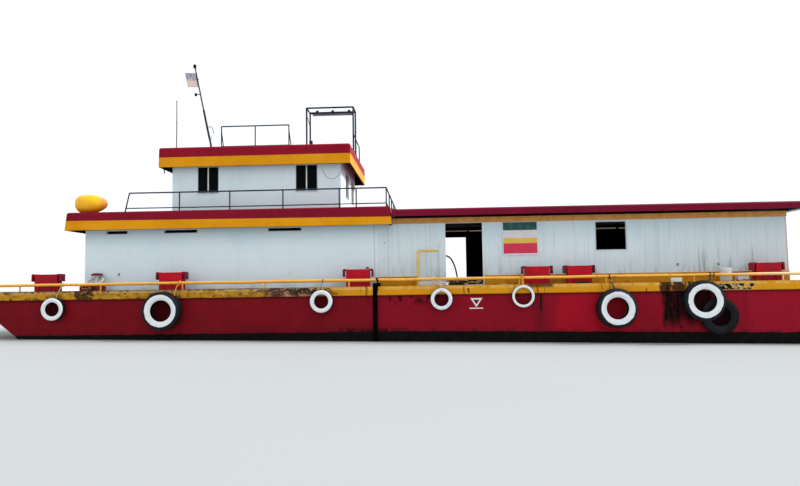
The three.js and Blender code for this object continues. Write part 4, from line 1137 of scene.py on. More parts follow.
ROOF_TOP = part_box("house_roof")[1].z
ROOF_RAIL_Y = 2.95
ROOF_RAIL_TOP = 5.85
ROOF_RAIL_LOW = 5.34
ROOF_RAIL_FORE = -1.36
ROOF_POSTS = [-9.965, -8.265, -6.565, -4.785, -2.91, -2.35, ROOF_RAIL_FORE]
ROOF_AFT_LEAN = 0.145
ROOF_FORE_POSTS = [-1.35, 0.0, 1.35]
ROOF_RAIL_RADIUS = 0.024
ROOF_LOW_RADIUS = 0.019
ROOF_POST_RADIUS = 0.022


def foot_plate(form, x, y, z):
    form.block((x - 0.05, x + 0.05), (y - 0.05, y + 0.05), (z + 0.0005, z + 0.008))
    weld(form, (x, y, z + 0.008), 0.022)
    for dx, dy in product((-0.036, 0.036), repeat=2):
        form.lathe([(0.0, 0), (0.008, 0), (0.008, 0.007), (0.0, 0.009)], (x + dx, y + dy, z + 0.008), 2, 6)


def make_roof_rails():
    for side, s in SIDES:
        y = s * ROOF_RAIL_Y
        form = Form()
        aft = ROOF_POSTS[0]
        low_aft = aft - ROOF_AFT_LEAN * (ROOF_RAIL_TOP - ROOF_RAIL_LOW) / (ROOF_RAIL_TOP - ROOF_TOP)
        # Columns: aft end, height, radius, how far it bows down
        for start, z, radius, bow in (
            (aft, ROOF_RAIL_TOP, ROOF_RAIL_RADIUS, 0.004),
            (low_aft, ROOF_RAIL_LOW, ROOF_LOW_RADIUS, 0.008),
        ):
            bar(form, (start, y, z), (ROOF_RAIL_FORE, y, z), radius, bow, steps=40)
        for x in ROOF_POSTS:
            foot = x - ROOF_AFT_LEAN if x == aft else x
            bar(form, (foot, y, ROOF_TOP), (x, y, ROOF_RAIL_TOP), ROOF_POST_RADIUS, steps=2)
            foot_plate(form, foot, y, ROOF_TOP)
        node = f"roof_rail_{side}"
        form.done(f"upper_rail_{side}", DARK_PAINT, slot="dark_steel", replaces=[node], sharp=40)
    form = Form()
    half = ROOF_RAIL_Y - 0.025
    for z, radius in ((ROOF_RAIL_TOP, ROOF_RAIL_RADIUS), (ROOF_RAIL_LOW, ROOF_LOW_RADIUS)):
        bar(form, (ROOF_RAIL_FORE, -half, z), (ROOF_RAIL_FORE, half, z), radius, 0.004, steps=24)
    for y in ROOF_FORE_POSTS:
        x = ROOF_RAIL_FORE
        bar(form, (x, y, ROOF_TOP), (x, y, ROOF_RAIL_TOP), ROOF_POST_RADIUS, steps=2)
        foot_plate(form, x, y, ROOF_TOP)
    form.done("upper_rail_fore", DARK_PAINT, slot="dark_steel", replaces=["roof_rail_fore"], sharp=40)


make_roof_rails()

CABIN_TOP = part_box("wheelhouse_roof")[1].z
CABIN_RAIL_Y = 2.25
CABIN_RAIL_TOP = 8.21
CABIN_RAIL_LOW = CABIN_TOP + 0.03
CABIN_POSTS = [-7.08, -5.9, -4.73]
STRUT_TOP = 8.04
STRUT_FOOT = 0.07


def make_cabin_rails():
    for side, s in SIDES:
        y = s * CABIN_RAIL_Y
        form = Form()
        first, last = CABIN_POSTS[0], CABIN_POSTS[-1]
        bar(form, (first, y, CABIN_RAIL_TOP), (last, y, CABIN_RAIL_TOP), 0.022, 0.003)
        bar(form, (first, y, CABIN_RAIL_LOW), (last, y, CABIN_RAIL_LOW), 0.017)
        for x in CABIN_POSTS:
            bar(form, (x, y, CABIN_TOP), (x, y, CABIN_RAIL_TOP), 0.02, steps=2)
            foot_plate(form, x, y, CABIN_TOP)
        for x in (first, last):
            bar(form, (x + STRUT_FOOT, y, CABIN_RAIL_LOW), (x, y, STRUT_TOP), 0.017, steps=4)
        name = f"top_rail_{side}"
        form.done(name, DARK_PAINT, slot="dark_steel", replaces=[f"wheelhouse_rail_{side}"], sharp=40)


make_cabin_rails()


# Lamp frame, mast and aerial

FRAME_X = (-4.35, -2.65)
FRAME_Y = (-1.0, -0.3)
FRAME_TOP = 9.13
FRAME_LAMPS = [-4.08, -3.5, -2.88]
FRAME_RADIUS = 0.031


def floodlight(form, x, y, z):
    """A small lamp in a round housing on a short stalk: metal, then its lens."""
    form.lathe([(0.0, -0.03), (0.03, -0.028), (0.034, 0.03), (0.0, 0.034)], (x, y, z), 2, 16)
    housing = [(0.0, 0.03), (0.052, 0.032), (0.055, 0.05), (0.055, 0.078), (0.048, 0.086)]
    form.lathe([*housing, (0.0, 0.0865)], (x, y, z), 2, 20)
    form.lathe([(0.0, 0.084), (0.044, 0.0865), (0.03, 0.0895), (0.0, 0.09)], (x, y, z), 2, 20, kind=1)


def make_lamp_frame():
    form = Form()
    for x, y in product(FRAME_X, FRAME_Y):
        bar(form, (x, y, CABIN_TOP), (x, y, FRAME_TOP), FRAME_RADIUS, steps=3)
        foot_plate(form, x, y, CABIN_TOP)
    for y, radius in zip(FRAME_Y, (FRAME_RADIUS, 0.042)):
        bar(form, (FRAME_X[0], y, FRAME_TOP), (FRAME_X[1], y, FRAME_TOP), radius, steps=12)
    for x in FRAME_X:
        bar(form, (x, FRAME_Y[0], FRAME_TOP), (x, FRAME_Y[1], FRAME_TOP), FRAME_RADIUS, steps=6)
    for x in FRAME_LAMPS:
        floodlight(form, x, FRAME_Y[1], FRAME_TOP)
    brace = [
        (FRAME_X[1], FRAME_Y[0], 8.15),
        (-2.44, FRAME_Y[0], 7.62),
        (-2.44, FRAME_Y[0], 7.13),
    ]
    form.tube(brace, 0.02, 12)
    # Batten lamp under the far bar, and its lens. Columns: inset, half width, bottom, top, material
    far = FRAME_Y[1]
    for inset, half, bottom, top, kind in ((0.1, 0.03, 0.1, 0.035, 2), (0.12, 0.02, 0.112, 0.1, 1)):
        x = (FRAME_X[0] + inset, FRAME_X[1] - inset)
        form.block(x, (far - half, far + half), (FRAME_TOP - bottom, FRAME_TOP - top), kind)
    # A diagonal in the aft end, and a junction box on a leg
    bar(form, (FRAME_X[0], FRAME_Y[0], 8.9), (FRAME_X[0], FRAME_Y[1], 8.6), 0.012, steps=3)
    form.block((FRAME_X[0] - 0.03, FRAME_X[0] + 0.09), (far - 0.06, far + 0.03), (7.9, 8.08))
    looks = [DARK_PAINT, LAMP_LENS, WORN_GREY]
    form.done("lamp_stand", looks, slot="dark_steel", replaces=["lamp_frame"], sharp=40)


make_lamp_frame()

MAST_Y = -0.9
MAST_FOOT = Vector((-7.83, MAST_Y, CABIN_TOP))
MAST_TIP = Vector((-8.54, MAST_Y, 10.89))
# Columns: height, radius
MAST_RADII = [
    (MAST_FOOT.z + 0.03, 0.036),
    (8.0, 0.036),
    (8.6, 0.036),
    (9.17, 0.036),
    (9.2, 0.031),
    (9.23, 0.024),
    (9.9, 0.024),
    (10.82, 0.023),
]
MAST_LAMP = 10.86
MAST_ARM = 9.79
MAST_KNOB = 10.36
MAST_CLEAT = 8.15
MAST_HOOK = 8.56
MAST_PLATE = CABIN_TOP + 0.014


def mast_point(z):
    return MAST_FOOT.lerp(MAST_TIP, (z - MAST_FOOT.z) / (MAST_TIP.z - MAST_FOOT.z))


def navigation_lamp(form, centre, radius):
    """A drum lamp: cap, lens and foot."""
    r = radius
    form.lathe([(0.0, -r), (r * 0.8, -r), (r * 0.9, -r * 0.6), (0.0, -r * 0.55)], centre, 2, 18)
    lens = [(0.0, -r * 0.6), (r * 0.78, -r * 0.55), (r * 0.78, r * 0.4), (0.0, r * 0.45)]
    form.lathe(lens, centre, 2, 18, kind=1)
    form.lathe([(0.0, r * 0.4), (r * 0.92, r * 0.42), (r * 0.7, r * 0.8), (0.0, r)], centre, 2, 18)


def make_mast():
    form = Form()
    form.tube([mast_point(z) for z, _ in MAST_RADII], [radius for _, radius in MAST_RADII], 20)
    foot = mast_point(MAST_FOOT.z)
    plate = [(middle - 0.12, middle + 0.12) for middle in (foot.x, MAST_Y)]
    form.block(*plate, (CABIN_TOP + 0.0005, MAST_PLATE))
    for dx, dy in product((-0.09, 0.09), repeat=2):
        bolt = [(0, 0), (0.014, 0), (0.014, 0.012), (0, 0.014)]
        form.lathe(bolt, (foot.x + dx, MAST_Y + dy, MAST_PLATE), 2, 6)
    # Brackets fore and aft of the foot. Columns: distance from the mast, height
    for way in (-1, 1):
        corners = ((0.04, MAST_PLATE), (0.115, MAST_PLATE), (0.045, CABIN_TOP + 0.16))
        form.prism([(foot.x + way * d, z) for d, z in corners], 1, (MAST_Y - 0.004, MAST_Y + 0.004))
    navigation_lamp(form, mast_point(MAST_LAMP), 0.068)
    arm = mast_point(MAST_ARM)
    end = arm + Vector((-0.175, 0, 0))
    form.tube(smooth_path([arm, arm + Vector((-0.1, 0, 0.0)), end + Vector((0, 0, 0.02))], 5), 0.014, 12)
    navigation_lamp(form, end, 0.055)
    knob = mast_point(MAST_KNOB)
    form.lathe([(0.0, -0.03), (0.036, -0.024), (0.036, 0.024), (0.0, 0.03)], knob, 2, 14)
    # Cleat for the flag's line, and the line itself
    cleat = mast_point(MAST_CLEAT)
    form.tube([cleat + Vector((x, 0, z)) for x, z in ((0.05, -0.07), (0.085, 0.0), (0.05, 0.07))], 0.008)
    line = [mast_point(z) + Vector((-0.03, -0.035, 0)) for z in (8.12, 9.0, 9.8, 10.5)]
    form.tube(line, 0.004, 6, 2)
    # A bent bracket low on the fore side
    hook = mast_point(MAST_HOOK)
    reach = [hook + Vector((x, 0, z)) for x, z in ((0.0, 0.0), (0.13, 0.0), (0.2, -0.08), (0.25, -0.24))]
    form.tube(smooth_path(reach, 6), 0.013, 10)
    looks = [DARK_PAINT, PANE_GLASS, OLD_ROPE]
    form.done("signal_mast", looks, slot="dark_steel", replaces=["mast"], sharp=40)


make_mast()


def make_aerial():
    low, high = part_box("aerial")
    x, y = (low.x + high.x) / 2, (low.y + high.y) / 2
    form = Form()
    base = [(0, 0), (0.04, 0.0005), (0.04, 0.02), (0.026, 0.03), (0.024, 0.075), (0.016, 0.085), (0, 0.09)]
    form.lathe(base, (x, y, CABIN_TOP), 2, 20)
    count = 16
    whip = []
    for i in range(count + 1):
        t = i / count
        whip.append((x + 0.006 * math.sin(3 * t), y, CABIN_TOP + 0.08 + t * (high.z - CABIN_TOP - 0.08)))
    form.tube(whip, [0.0195 - 0.003 * i / count for i in range(count + 1)], 12, 1)
    for i in (4, 9):
        form.lathe([(0, -0.02), (0.02, -0.016), (0.02, 0.016), (0, 0.02)], whip[i], 2, 14)
    form.done("whip_aerial", [DARK_PAINT, WORN_GREY], slot="dark_steel", replaces=["aerial"], sharp=40)


make_aerial()


# Bollards: a body under a dished cap whose ends hang down as horns, on the margin plate


def bollard_outline(x):
    """Side view: up one side, round the horn and along the dished top."""
    half = [
        (BOLLARD_BODY, 0.0),
        (BOLLARD_BODY, BOLLARD_UNDER - 0.03),
        (BOLLARD_BODY + 0.02, BOLLARD_UNDER),
        (BOLLARD_EAR - 0.015, BOLLARD_UNDER),
        (BOLLARD_EAR, BOLLARD_UNDER - 0.02),
        (BOLLARD_EAR, BOLLARD_HEIGHT - BOLLARD_DROP),
        (BOLLARD_CAP, BOLLARD_HEIGHT - BOLLARD_DROP),
        (BOLLARD_CAP, BOLLARD_HEIGHT - 0.03),
        (BOLLARD_CAP - 0.03, BOLLARD_HEIGHT),
        (0.41, BOLLARD_HEIGHT - 0.003),
        (0.32, BOLLARD_HEIGHT - BOLLARD_DIP),
    ]
    return [(x + u, BOLLARD_FOOT + v) for u, v in half + [(-u, v) for u, v in reversed(half)]]


def make_bollards():
    for side, s in SIDES:
        y = s * BOLLARD_Y
        outer = sorted((s * MARGIN_Y[0], s * MARGIN_Y[1]))
        form = Form()
        form.block(MARGIN_X, outer, (DECK + 0.0005, BOLLARD_FOOT))
        for x in BOLLARDS_X:
            form.prism(bollard_outline(x), 1, (y - BOLLARD_DEPTH, y + BOLLARD_DEPTH))
            # Stiffeners on both faces, and a weld along the foot
            for dx, face in product((-0.2, 0.2), (-1, 1)):
                edge = y + face * BOLLARD_DEPTH
                corners = ((0, 0), (0.035, 0), (0, 0.3))
                outline = [(edge + face * out, BOLLARD_FOOT + rise) for out, rise in corners]
                form.prism(outline, 0, (x + dx - 0.006, x + dx + 0.006))
            corners = ((-1, -1), (1, -1), (1, 1), (-1, 1))
            loop = [(x + a * BOLLARD_BODY, y + b * BOLLARD_DEPTH, BOLLARD_FOOT) for a, b in corners]
            form.tube(loop, 0.008, 6, closed=True)
        name, node = f"bitts_{side}", f"bollards_{side}"
        form.done(name, BOLLARD_PAINT, slot="bollard_paint", replaces=[node], bevel=0.008, sharp=40)


make_bollards()


# Hoop beside the doorway

ON_DECK = BOLLARD_FOOT + PROUD
HOOP_X = (-0.35, 0.302)
HOOP_Y = -3.1
HOOP_TOP = 3.74


def make_hoop():
    x0, x1 = HOOP_X
    y, foot, top = HOOP_Y, ON_DECK, HOOP_TOP
    form = Form()
    path = [(x0, y, foot), (x0, y, 3.2), (x0, y, top - 0.09), (x0 + 0.04, y, top - 0.012)]
    form.tube(smooth_path(path, 6), 0.05, 20)
    bar(form, (x0, y, top), (x1 + 0.018, y, top), 0.042, steps=8, sides=20)
    bar(form, (x1, y, foot), (x1, y, top), 0.018, steps=2, kind=1)
    weld(form, (x0, y, foot), 0.05)
    weld(form, (x1, y, foot), 0.018)
    looks = [HOOP_PAINT, TRIM_PAINT]
    form.done("doorway_hoop", looks, slot="yellow_plastic", replaces=["gangway_hoop"], sharp=40)


make_hoop()


# Vent with a mushroom cap, the life ring against it and the float on the roof

VENT_X = -11.01
VENT_Y = -2.99
VENT_BOX_Y = (-3.59, -2.9)
VENT_BOX_HALF = 0.26
VENT_BOX_TOP = 2.75
VENT_LID = 2.77
VENT_LID_INSET = 0.02
# Profiles round the vent's axis. Columns: distance from the axis, height
VENT_PIPE = [(0.0, 2.765), (0.075, 2.766), (0.07, 2.785), (0.05, 2.79), (0.05, 3.11), (0.0, 3.115)]
VENT_COLLAR = [(0.09, 3.085), (0.172, 3.088), (0.174, 3.103), (0.09, 3.108)]
VENT_CAP = [
    (0.0, 3.125), (0.165, 3.122), (0.172, 3.105), (0.185, 3.106), (0.184, 3.14), (0.165, 3.168),
    (0.11, 3.187), (0.0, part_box("vent")[1].z),
]


def make_vent():
    form = Form()
    inset = VENT_LID_INSET
    near, far = VENT_BOX_Y
    sides = (VENT_X - VENT_BOX_HALF, VENT_X + VENT_BOX_HALF)
    form.block(sides, VENT_BOX_Y, (ON_DECK, VENT_BOX_TOP))
    form.block((sides[0] + inset, sides[1] - inset), (near + inset, far - inset), (VENT_BOX_TOP, VENT_LID))
    for dx, y in product((-0.21, 0.0, 0.21), (-3.54, -2.95)):
        form.lathe([(0, 0), (0.013, 0), (0.013, 0.01), (0, 0.012)], (VENT_X + dx, y, VENT_LID), 2, 6)
    where = (VENT_X, VENT_Y, 0)
    form.lathe(VENT_PIPE, where, 2, 24, kind=1)
    form.lathe(VENT_COLLAR, where, 2, 28, closed=True, kind=1)
    form.lathe(VENT_CAP, where, 2, 32, kind=2)
    looks = [BOLLARD_PAINT, PALE_PAINT, PLUM_PAINT]
    form.done("mushroom_vent", looks, slot="bollard_paint", replaces=["vent"], sharp=35)


make_vent()

RING_MAJOR = 0.255
RING_TUBE = 0.045
RING_TILT = math.radians(26)
RING_STEPS = 64


def make_life_ring():
    low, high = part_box("life_ring")
    centre = (low + high) / 2
    lie = Matrix.Rotation(RING_TILT, 3, "X")

    def place(angle, radius=RING_MAJOR, height=0):
        return centre + lie @ Vector((radius * math.cos(angle), radius * math.sin(angle), height))

    form = Form()
    form.tube([place(TURN * i / RING_STEPS) for i in range(RING_STEPS)], RING_TUBE, 20, closed=True)
    # Four straps round the tube and the grab line looped between them
    for k in range(4):
        angle = TURN * (k + 0.5) / 4
        form.tube([place(angle + i * 0.03) for i in range(-3, 4)], RING_TUBE + 0.0025, 20, 1)
        line = []
        for i in range(13):
            t = i / 12
            sag = math.sin(math.pi * t)
            radius = RING_MAJOR + RING_TUBE - 0.004 - 0.018 * sag
            line.append(place(angle + TURN / 4 * t, radius, 0.012 * sag))
        form.tube(line, 0.005, 8, 2)
    looks = [RING_PLASTIC, TRIM_PAINT, PALE_ROPE]
    form.done("ring_buoy", looks, slot="white_plastic", replaces=["life_ring"], sharp=50)


make_life_ring()


def make_float():
    low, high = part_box("float")
    y, z = (low.y + high.y) / 2, (low.z + high.z) / 2
    radius = (high.z - low.z) / 2
    profile = [
        (0.0, 0.0), (0.06, 0.002), (0.115, 0.009), (0.165, 0.024), (0.215, 0.052),
        (0.262, 0.1), (0.297, 0.172), (0.316, 0.26), (0.3215, 0.36), (0.3205, 0.47),
        (0.308, 0.58), (0.284, 0.695), (0.25, 0.79), (0.213, 0.875), (0.18, 0.93),
    ]
    tip = [(0.18, 0.93), (0.148, 0.977), (0.112, 1.01), (0.078, 1.033), (0.04, 1.046), (0.0, 1.0495)]
    scale = radius / 0.322
    form = Form()
    form.lathe([(r * scale, d) for r, d in profile], (low.x, y, z), 0, 48)
    form.lathe([(r * scale, d) for r, d in tip], (low.x, y, z), 0, 48)
    # Moulded seam
    seam = [(0.3, 0.392), (0.3218, 0.396), (0.3218, 0.404), (0.3, 0.408)]
    form.lathe(seam, (low.x, y, z), 0, 48, closed=True)
    form.done("roof_float", FLOAT_PLASTIC, slot="yellow_plastic", replaces=["float"], sharp=60)


make_float()


# Ladder on the port side

LADDER_X = (-11.02, -10.62)
LADDER_Y = 3.275
LADDER_TOP = 5.95
LADDER_RUNGS = 9
RUNG_STEP = 0.3
RUNG_WELD = [(0.012, -0.005), (0.018, -0.003), (0.018, 0.003), (0.012, 0.005)]


def make_ladder():
    x0, x1 = LADDER_X
    y, top = LADDER_Y, LADDER_TOP
    form = Form()
    for x in (x0, x1):
        bar(form, (x, y, ON_DECK), (x, y, top - 0.02), 0.02, steps=6, sides=16)
        form.lathe([(0, -0.02), (0.02, -0.02), (0.017, -0.006), (0, 0)], (x, y, top), 2, 16)
        form.block((x - 0.015, x + 0.015), (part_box("house_roof")[1].y + 0.0003, y), (4.612, 4.632))
    for i in range(LADDER_RUNGS):
        z = DECK + RUNG_STEP * (i + 1)
        bar(form, (x0, y, z), (x1, y, z), 0.013, steps=2)
        for x in (x0 + 0.02, x1 - 0.02):
            form.lathe(RUNG_WELD, (x, y, z), 0, 12, closed=True)
    form.done("side_ladder", YELLOW_PAINT, slot="belt_paint", replaces=["roof_ladder"], sharp=40)


make_ladder()


# Propellers with twisted blades, and rudders

STERN_GEAR_Y = 1.5
PROPELLER_X = -13.25
PROPELLER_Z = 0.56
BLADES = 4
BLADE_FOOT = 0.07
BLADE_TIP = 0.418
BLADE_CHORD = 0.126
BLADE_THICK = 0.011
BLADE_STEPS = 12
PITCH_FOOT = 62
PITCH_TWIST = 14
# Hub and shaft. Columns: distance from the axis, distance along it
HUB = [
    (0.0, -0.29), (0.03, -0.288), (0.055, -0.25), (0.078, -0.19), (0.09, -0.13), (0.095, -0.06),
    (0.095, 0.09), (0.088, 0.13), (0.045, 0.131), (0.045, 1.049), (0.0, 1.05),
]


def blade(form, centre, turn):
    """Two faces of a blade, each a grid, joined round their border."""
    wide = BLADE_STEPS + 1
    last = BLADE_STEPS
    points = []
    for face, j in product((1, -1), range(wide)):
        t = j / BLADE_STEPS
        radius = BLADE_FOOT + (BLADE_TIP - BLADE_FOOT) * t
        chord = BLADE_CHORD * math.sqrt(max(0.0, 1 - (2 * (t * 0.93 + 0.035) - 1) ** 2)) + 0.004
        pitch = math.radians(PITCH_FOOT - PITCH_TWIST * t)
        for i in range(wide):
            c = 2 * i / BLADE_STEPS - 1
            thick = BLADE_THICK * (1 - c * c) * (1.05 - t) + 0.0012
            flat = Vector((chord * c * math.cos(pitch), -chord * c * math.sin(pitch), 0))
            out = Vector((thick * math.sin(pitch), thick * math.cos(pitch), 0)) * face
            rise = math.sqrt(max(radius**2 - flat.y**2, 0.0025))
            points.append(centre + turn @ (flat + out + Vector((0, 0, rise))))
    size = wide * wide
    corners = [start + j * wide + i for start, j, i in product((0, size), range(last), range(last))]
    faces = [(a, a + 1, a + wide + 1, a + wide) for a in corners]
    border = [*range(wide), *(j * wide + last for j in range(1, wide))]
    border += [last * wide + i for i in range(last - 1, -1, -1)]
    border += [j * wide for j in range(last - 1, 0, -1)]
    faces += [(a, b, b + size, a + size) for a, b in zip(border, border[1:] + border[:1])]
    form.add(points, faces)


def make_propellers():
    for side, s in SIDES:
        centre = Vector((PROPELLER_X, s * STERN_GEAR_Y, PROPELLER_Z))
        form = Form()
        form.lathe(HUB, centre, 0, 40)
        for k in range(BLADES):
            blade(form, centre, Matrix.Rotation(TURN * k / BLADES, 3, "X"))
        node = f"propeller_{side}"
        form.done(f"screw_{side}", BRONZE, body=node, slot="bronze", replaces=[node], sharp=40)


make_propellers()


# Stiffener on a rudder's face. Columns: x, distance from the middle of the blade
RUDDER_RIB = [(-14.38, 0.012), (-14.36, 0.024), (-13.72, 0.05), (-13.68, 0.04)]
RUDDER_RIBS_Z = (0.35, 0.72, 1.08)
RUDDER_RIB_HALF = 0.012


def make_rudder_details():
    """Horizontal stiffeners welded on both faces of each rudder blade."""
    for side, s in SIDES:
        y = s * STERN_GEAR_Y
        form = Form()
        for z, face in product(RUDDER_RIBS_Z, (-1, 1)):
            rib = [(x, y + face * out) for x, out in RUDDER_RIB]
            form.prism(rib, 2, (z - RUDDER_RIB_HALF, z + RUDDER_RIB_HALF))
        form.done(f"rudder_ribs_{side}", DARK_STEEL, body=f"rudder_{side}", slot="dark_steel", sharp=30)


make_rudder_details()


# Wheelhouse windows: panes in pale frames with dark beads and a mullion

CABIN_FACE = -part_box("wheelhouse_wall_starboard")[0].y
CABIN_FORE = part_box("wheelhouse_wall_fore")[1].x
SIDE_WINDOWS = [(-7.96, -7.22, 5.92, 6.84), (-4.535, -3.775, 5.92, 6.84)]
FRONT_WINDOWS = [(-0.8, 0.0, 5.87, 6.75), (0.85, 1.6, 5.87, 6.75)]
WINDOW_FRAME = 0.018


def window(name, place, span, height, axis, face):
    """place is the wall's outer face, and face the way it looks. The parts stand in the opening."""
    u0, u1 = span
    z0, z1 = height
    across = 1 - axis
    form = Form()

    def box(u, depth, z, kind):
        ranges = [None, None, z]
        ranges[axis] = sorted((place + face * depth[0], place + face * depth[1]))
        ranges[across] = u
        form.block(*ranges, kind)

    gap = 0.0015
    w = WINDOW_FRAME
    box((u0 + gap, u0 + w), (-0.04, 0.006), (z0 + gap, z1 - gap), 0)
    box((u1 - w, u1 - gap), (-0.04, 0.006), (z0 + gap, z1 - gap), 0)
    box((u0 + w, u1 - w), (-0.04, 0.006), (z0 + gap, z0 + w), 0)
    box((u0 + w, u1 - w), (-0.04, 0.006), (z1 - w, z1 - gap), 0)
    box((u0 + w - 0.004, u1 - w + 0.004), (-0.016, -0.009), (z0 + w - 0.004, z1 - w + 0.004), 1)
    middle = (u0 + u1) / 2
    box((middle - 0.02, middle + 0.02), (-0.03, 0.008), (z0 + w, z1 - w), 2)
    # Dark beads that hold the glass, and a sill that sheds water
    for u in ((u0 + w, u0 + w + 0.012), (u1 - w - 0.012, u1 - w)):
        box(u, (-0.012, 0.002), (z0 + w, z1 - w), 3)
    box((u0 - 0.02, u1 + 0.02), (0.0008, 0.02), (z0 - 0.02, z0 - 0.008), 0)
    form.done(name, [TRIM_PAINT, PANE_GLASS, PALE_PAINT, BLACK_STEEL], slot="wall_paint", sharp=30)


def make_windows():
    for side, s in SIDES:
        for i, (x0, x1, z0, z1) in enumerate(SIDE_WINDOWS, 1):
            window(f"side_window_{i}_{side}", s * CABIN_FACE, (x0, x1), (z0, z1), 1, s)
    for i, (y0, y1, z0, z1) in enumerate(FRONT_WINDOWS, 1):
        window(f"front_window_{i}", CABIN_FORE, (y0, y1), (z0, z1), 0, 1)


make_windows()


# Trim round the shed's openings and the slots under the house roof

SHED_WINDOW = (5.42, 6.38, 3.69, 4.59)
HOUSE_SLOTS = [(-10.8, -10.09, 4.5, 4.6), (-8.825, -7.715, 4.5, 4.6), (-5.315, -4.215, 4.5, 4.6)]


def ring_frame(form, x, y, z, width):
    """Four flats round an opening in a side wall, outside it."""
    x0, x1 = x
    z0, z1 = z
    form.block((x0 - width, x0), y, (z0, z1))
    form.block((x1, x1 + width), y, (z0, z1))
    form.block((x0 - width, x1 + width), y, (z1, z1 + width))
    form.block((x0 - width, x1 + width), y, (z0 - width, z0))


def make_opening_trim():
    for side, s in SIDES:
        form = Form()
        shed_y = sorted((s * (WALL_SIDE + RIB_PROUD + 0.0005), s * (WALL_SIDE + RIB_PROUD + 0.01)))
        ring_frame(form, SHED_WINDOW[:2], shed_y, SHED_WINDOW[2:], 0.022)
        form.done(f"window_trim_{side}", TRIM_PAINT, slot="wall_paint", bevel=0.002, sharp=30)
        form = Form()
        house_y = sorted((s * (WALL_SIDE + 0.0005), s * (WALL_SIDE + 0.006)))
        for x0, x1, z0, z1 in HOUSE_SLOTS:
            form.block((x0 - 0.02, x1 + 0.02), house_y, (z0 - 0.022, z0), 0)
            form.block((x0 - 0.02, x0), house_y, (z0, z1), 0)
            form.block((x1, x1 + 0.02), house_y, (z0, z1), 0)
        form.done(f"slot_trim_{side}", TRIM_PAINT, slot="wall_paint", sharp=30)


make_opening_trim()


# Fittings of the doors, and round lamps on the walls

DOOR_THICK = 0.04
# The handle's distances from the leaf's lower corner, in Y and in Z
DOOR_HANDLE = (0.1, 0.82)
DOOR_FLAT = 0.05
DOOR_HINGE_SIDE = 0.06


def make_door_fittings():
    """Frames and battens on both faces of each door, and the handle's rose and key plate."""
    for node in ("house_door", "wheelhouse_door"):
        low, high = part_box(node)
        outer = high.x - DOOR_THICK
        form = Form()
        # Columns: from x, to x, distance in from the leaf's edges
        for x0, x1, inset in ((outer - 0.005, outer - PROUD, 0.02), (high.x + PROUD, high.x + 0.004, 0.09)):
            y = (low.y + inset, high.y - DOOR_HINGE_SIDE - inset)
            z = (low.z + inset, high.z - inset)
            for near, far in ((y[0], y[0] + DOOR_FLAT), (y[1] - DOOR_FLAT, y[1])):
                form.block((x0, x1), (near, far), z)
            half = DOOR_FLAT / 2
            between = (y[0] + DOOR_FLAT + 0.0002, y[1] - DOOR_FLAT - 0.0002)
            for share in (0.0, 1 / 3, 2 / 3, 1.0):
                middle = z[0] + half + (z[1] - z[0] - DOOR_FLAT) * share
                form.block((x0, x1), between, (middle - half, middle + half))
        y, z = low.y + DOOR_HANDLE[0], low.z + DOOR_HANDLE[1]
        rose = [(0.0, -0.014), (0.018, -0.014), (0.027, -0.009), (0.03, -0.0052), (0.0, -0.0052)]
        form.lathe(rose, (outer, y, z), 0, 24, kind=1)
        form.block((outer - 0.008, outer - 0.0052), (y - 0.02, y + 0.02), (z - 0.14, z - 0.07), 1)
        form.block((outer - 0.009, outer - 0.0082), (y - 0.004, y + 0.004), (z - 0.12, z - 0.095), 2)
        looks = [DOOR_PAINT, DARK_STEEL, BLACK_STEEL]
        form.done(f"{node}_fittings", looks, body=node, slot="wall_paint", bevel=0.0015)


# Columns: name, x, z, face of the wall
WALL_LAMPS = [
    ("wall_light_1", -10.363, 3.149, WALL_SIDE),
    ("wall_light_2", 7.987, 3.173, WALL_SIDE + RIB_PROUD),
    ("wall_light_3", 9.276, 3.17, WALL_SIDE + RIB_PROUD),
]


def make_wall_lamps():
    foot = [(0, -0.001), (0.04, -0.001), (0.04, -0.012), (0.028, -0.016), (0, -0.016)]
    bowl = [(0.024, -0.014), (0.024, -0.035), (0.012, -0.048), (0, -0.05)]
    for name, x, z, face in WALL_LAMPS:
        form = Form()
        form.lathe(foot, (x, -face, z), 1, 20)
        form.lathe(bowl, (x, -face, z), 1, 20, kind=1)
        form.done(name, [DARK_STEEL, TRIM_PAINT], slot="dark_steel", sharp=40)


make_door_fittings()
make_wall_lamps()


# Freeboard mark: the outline of a triangle on its point, over a line

MARK_OUTER = [(1.265, 2.203), (1.643, 2.203), (1.452, 1.92)]
MARK_INNER = [(1.352, 2.153), (1.556, 2.153), (1.452, 2.0)]
MARK_LINE_X = (1.234, 1.658)
MARK_LINE_Z = 1.905


def make_mark():
    for side, s in SIDES:
        face = sorted((s * (SIDE + 0.0005), s * (SIDE + 0.004)))
        form = Form()
        for i in range(3):
            k = (i + 1) % 3
            form.prism([MARK_OUTER[i], MARK_OUTER[k], MARK_INNER[k], MARK_INNER[i]], 1, face)
        form.block(MARK_LINE_X, face, (MARK_LINE_Z - 0.035, MARK_LINE_Z))
        form.done(f"draught_mark_{side}", PALE_PAINT, slot="sign_paint", sharp=30)


make_mark()


# Ropes that hold the tyres, tied round the pipe and led over the belt

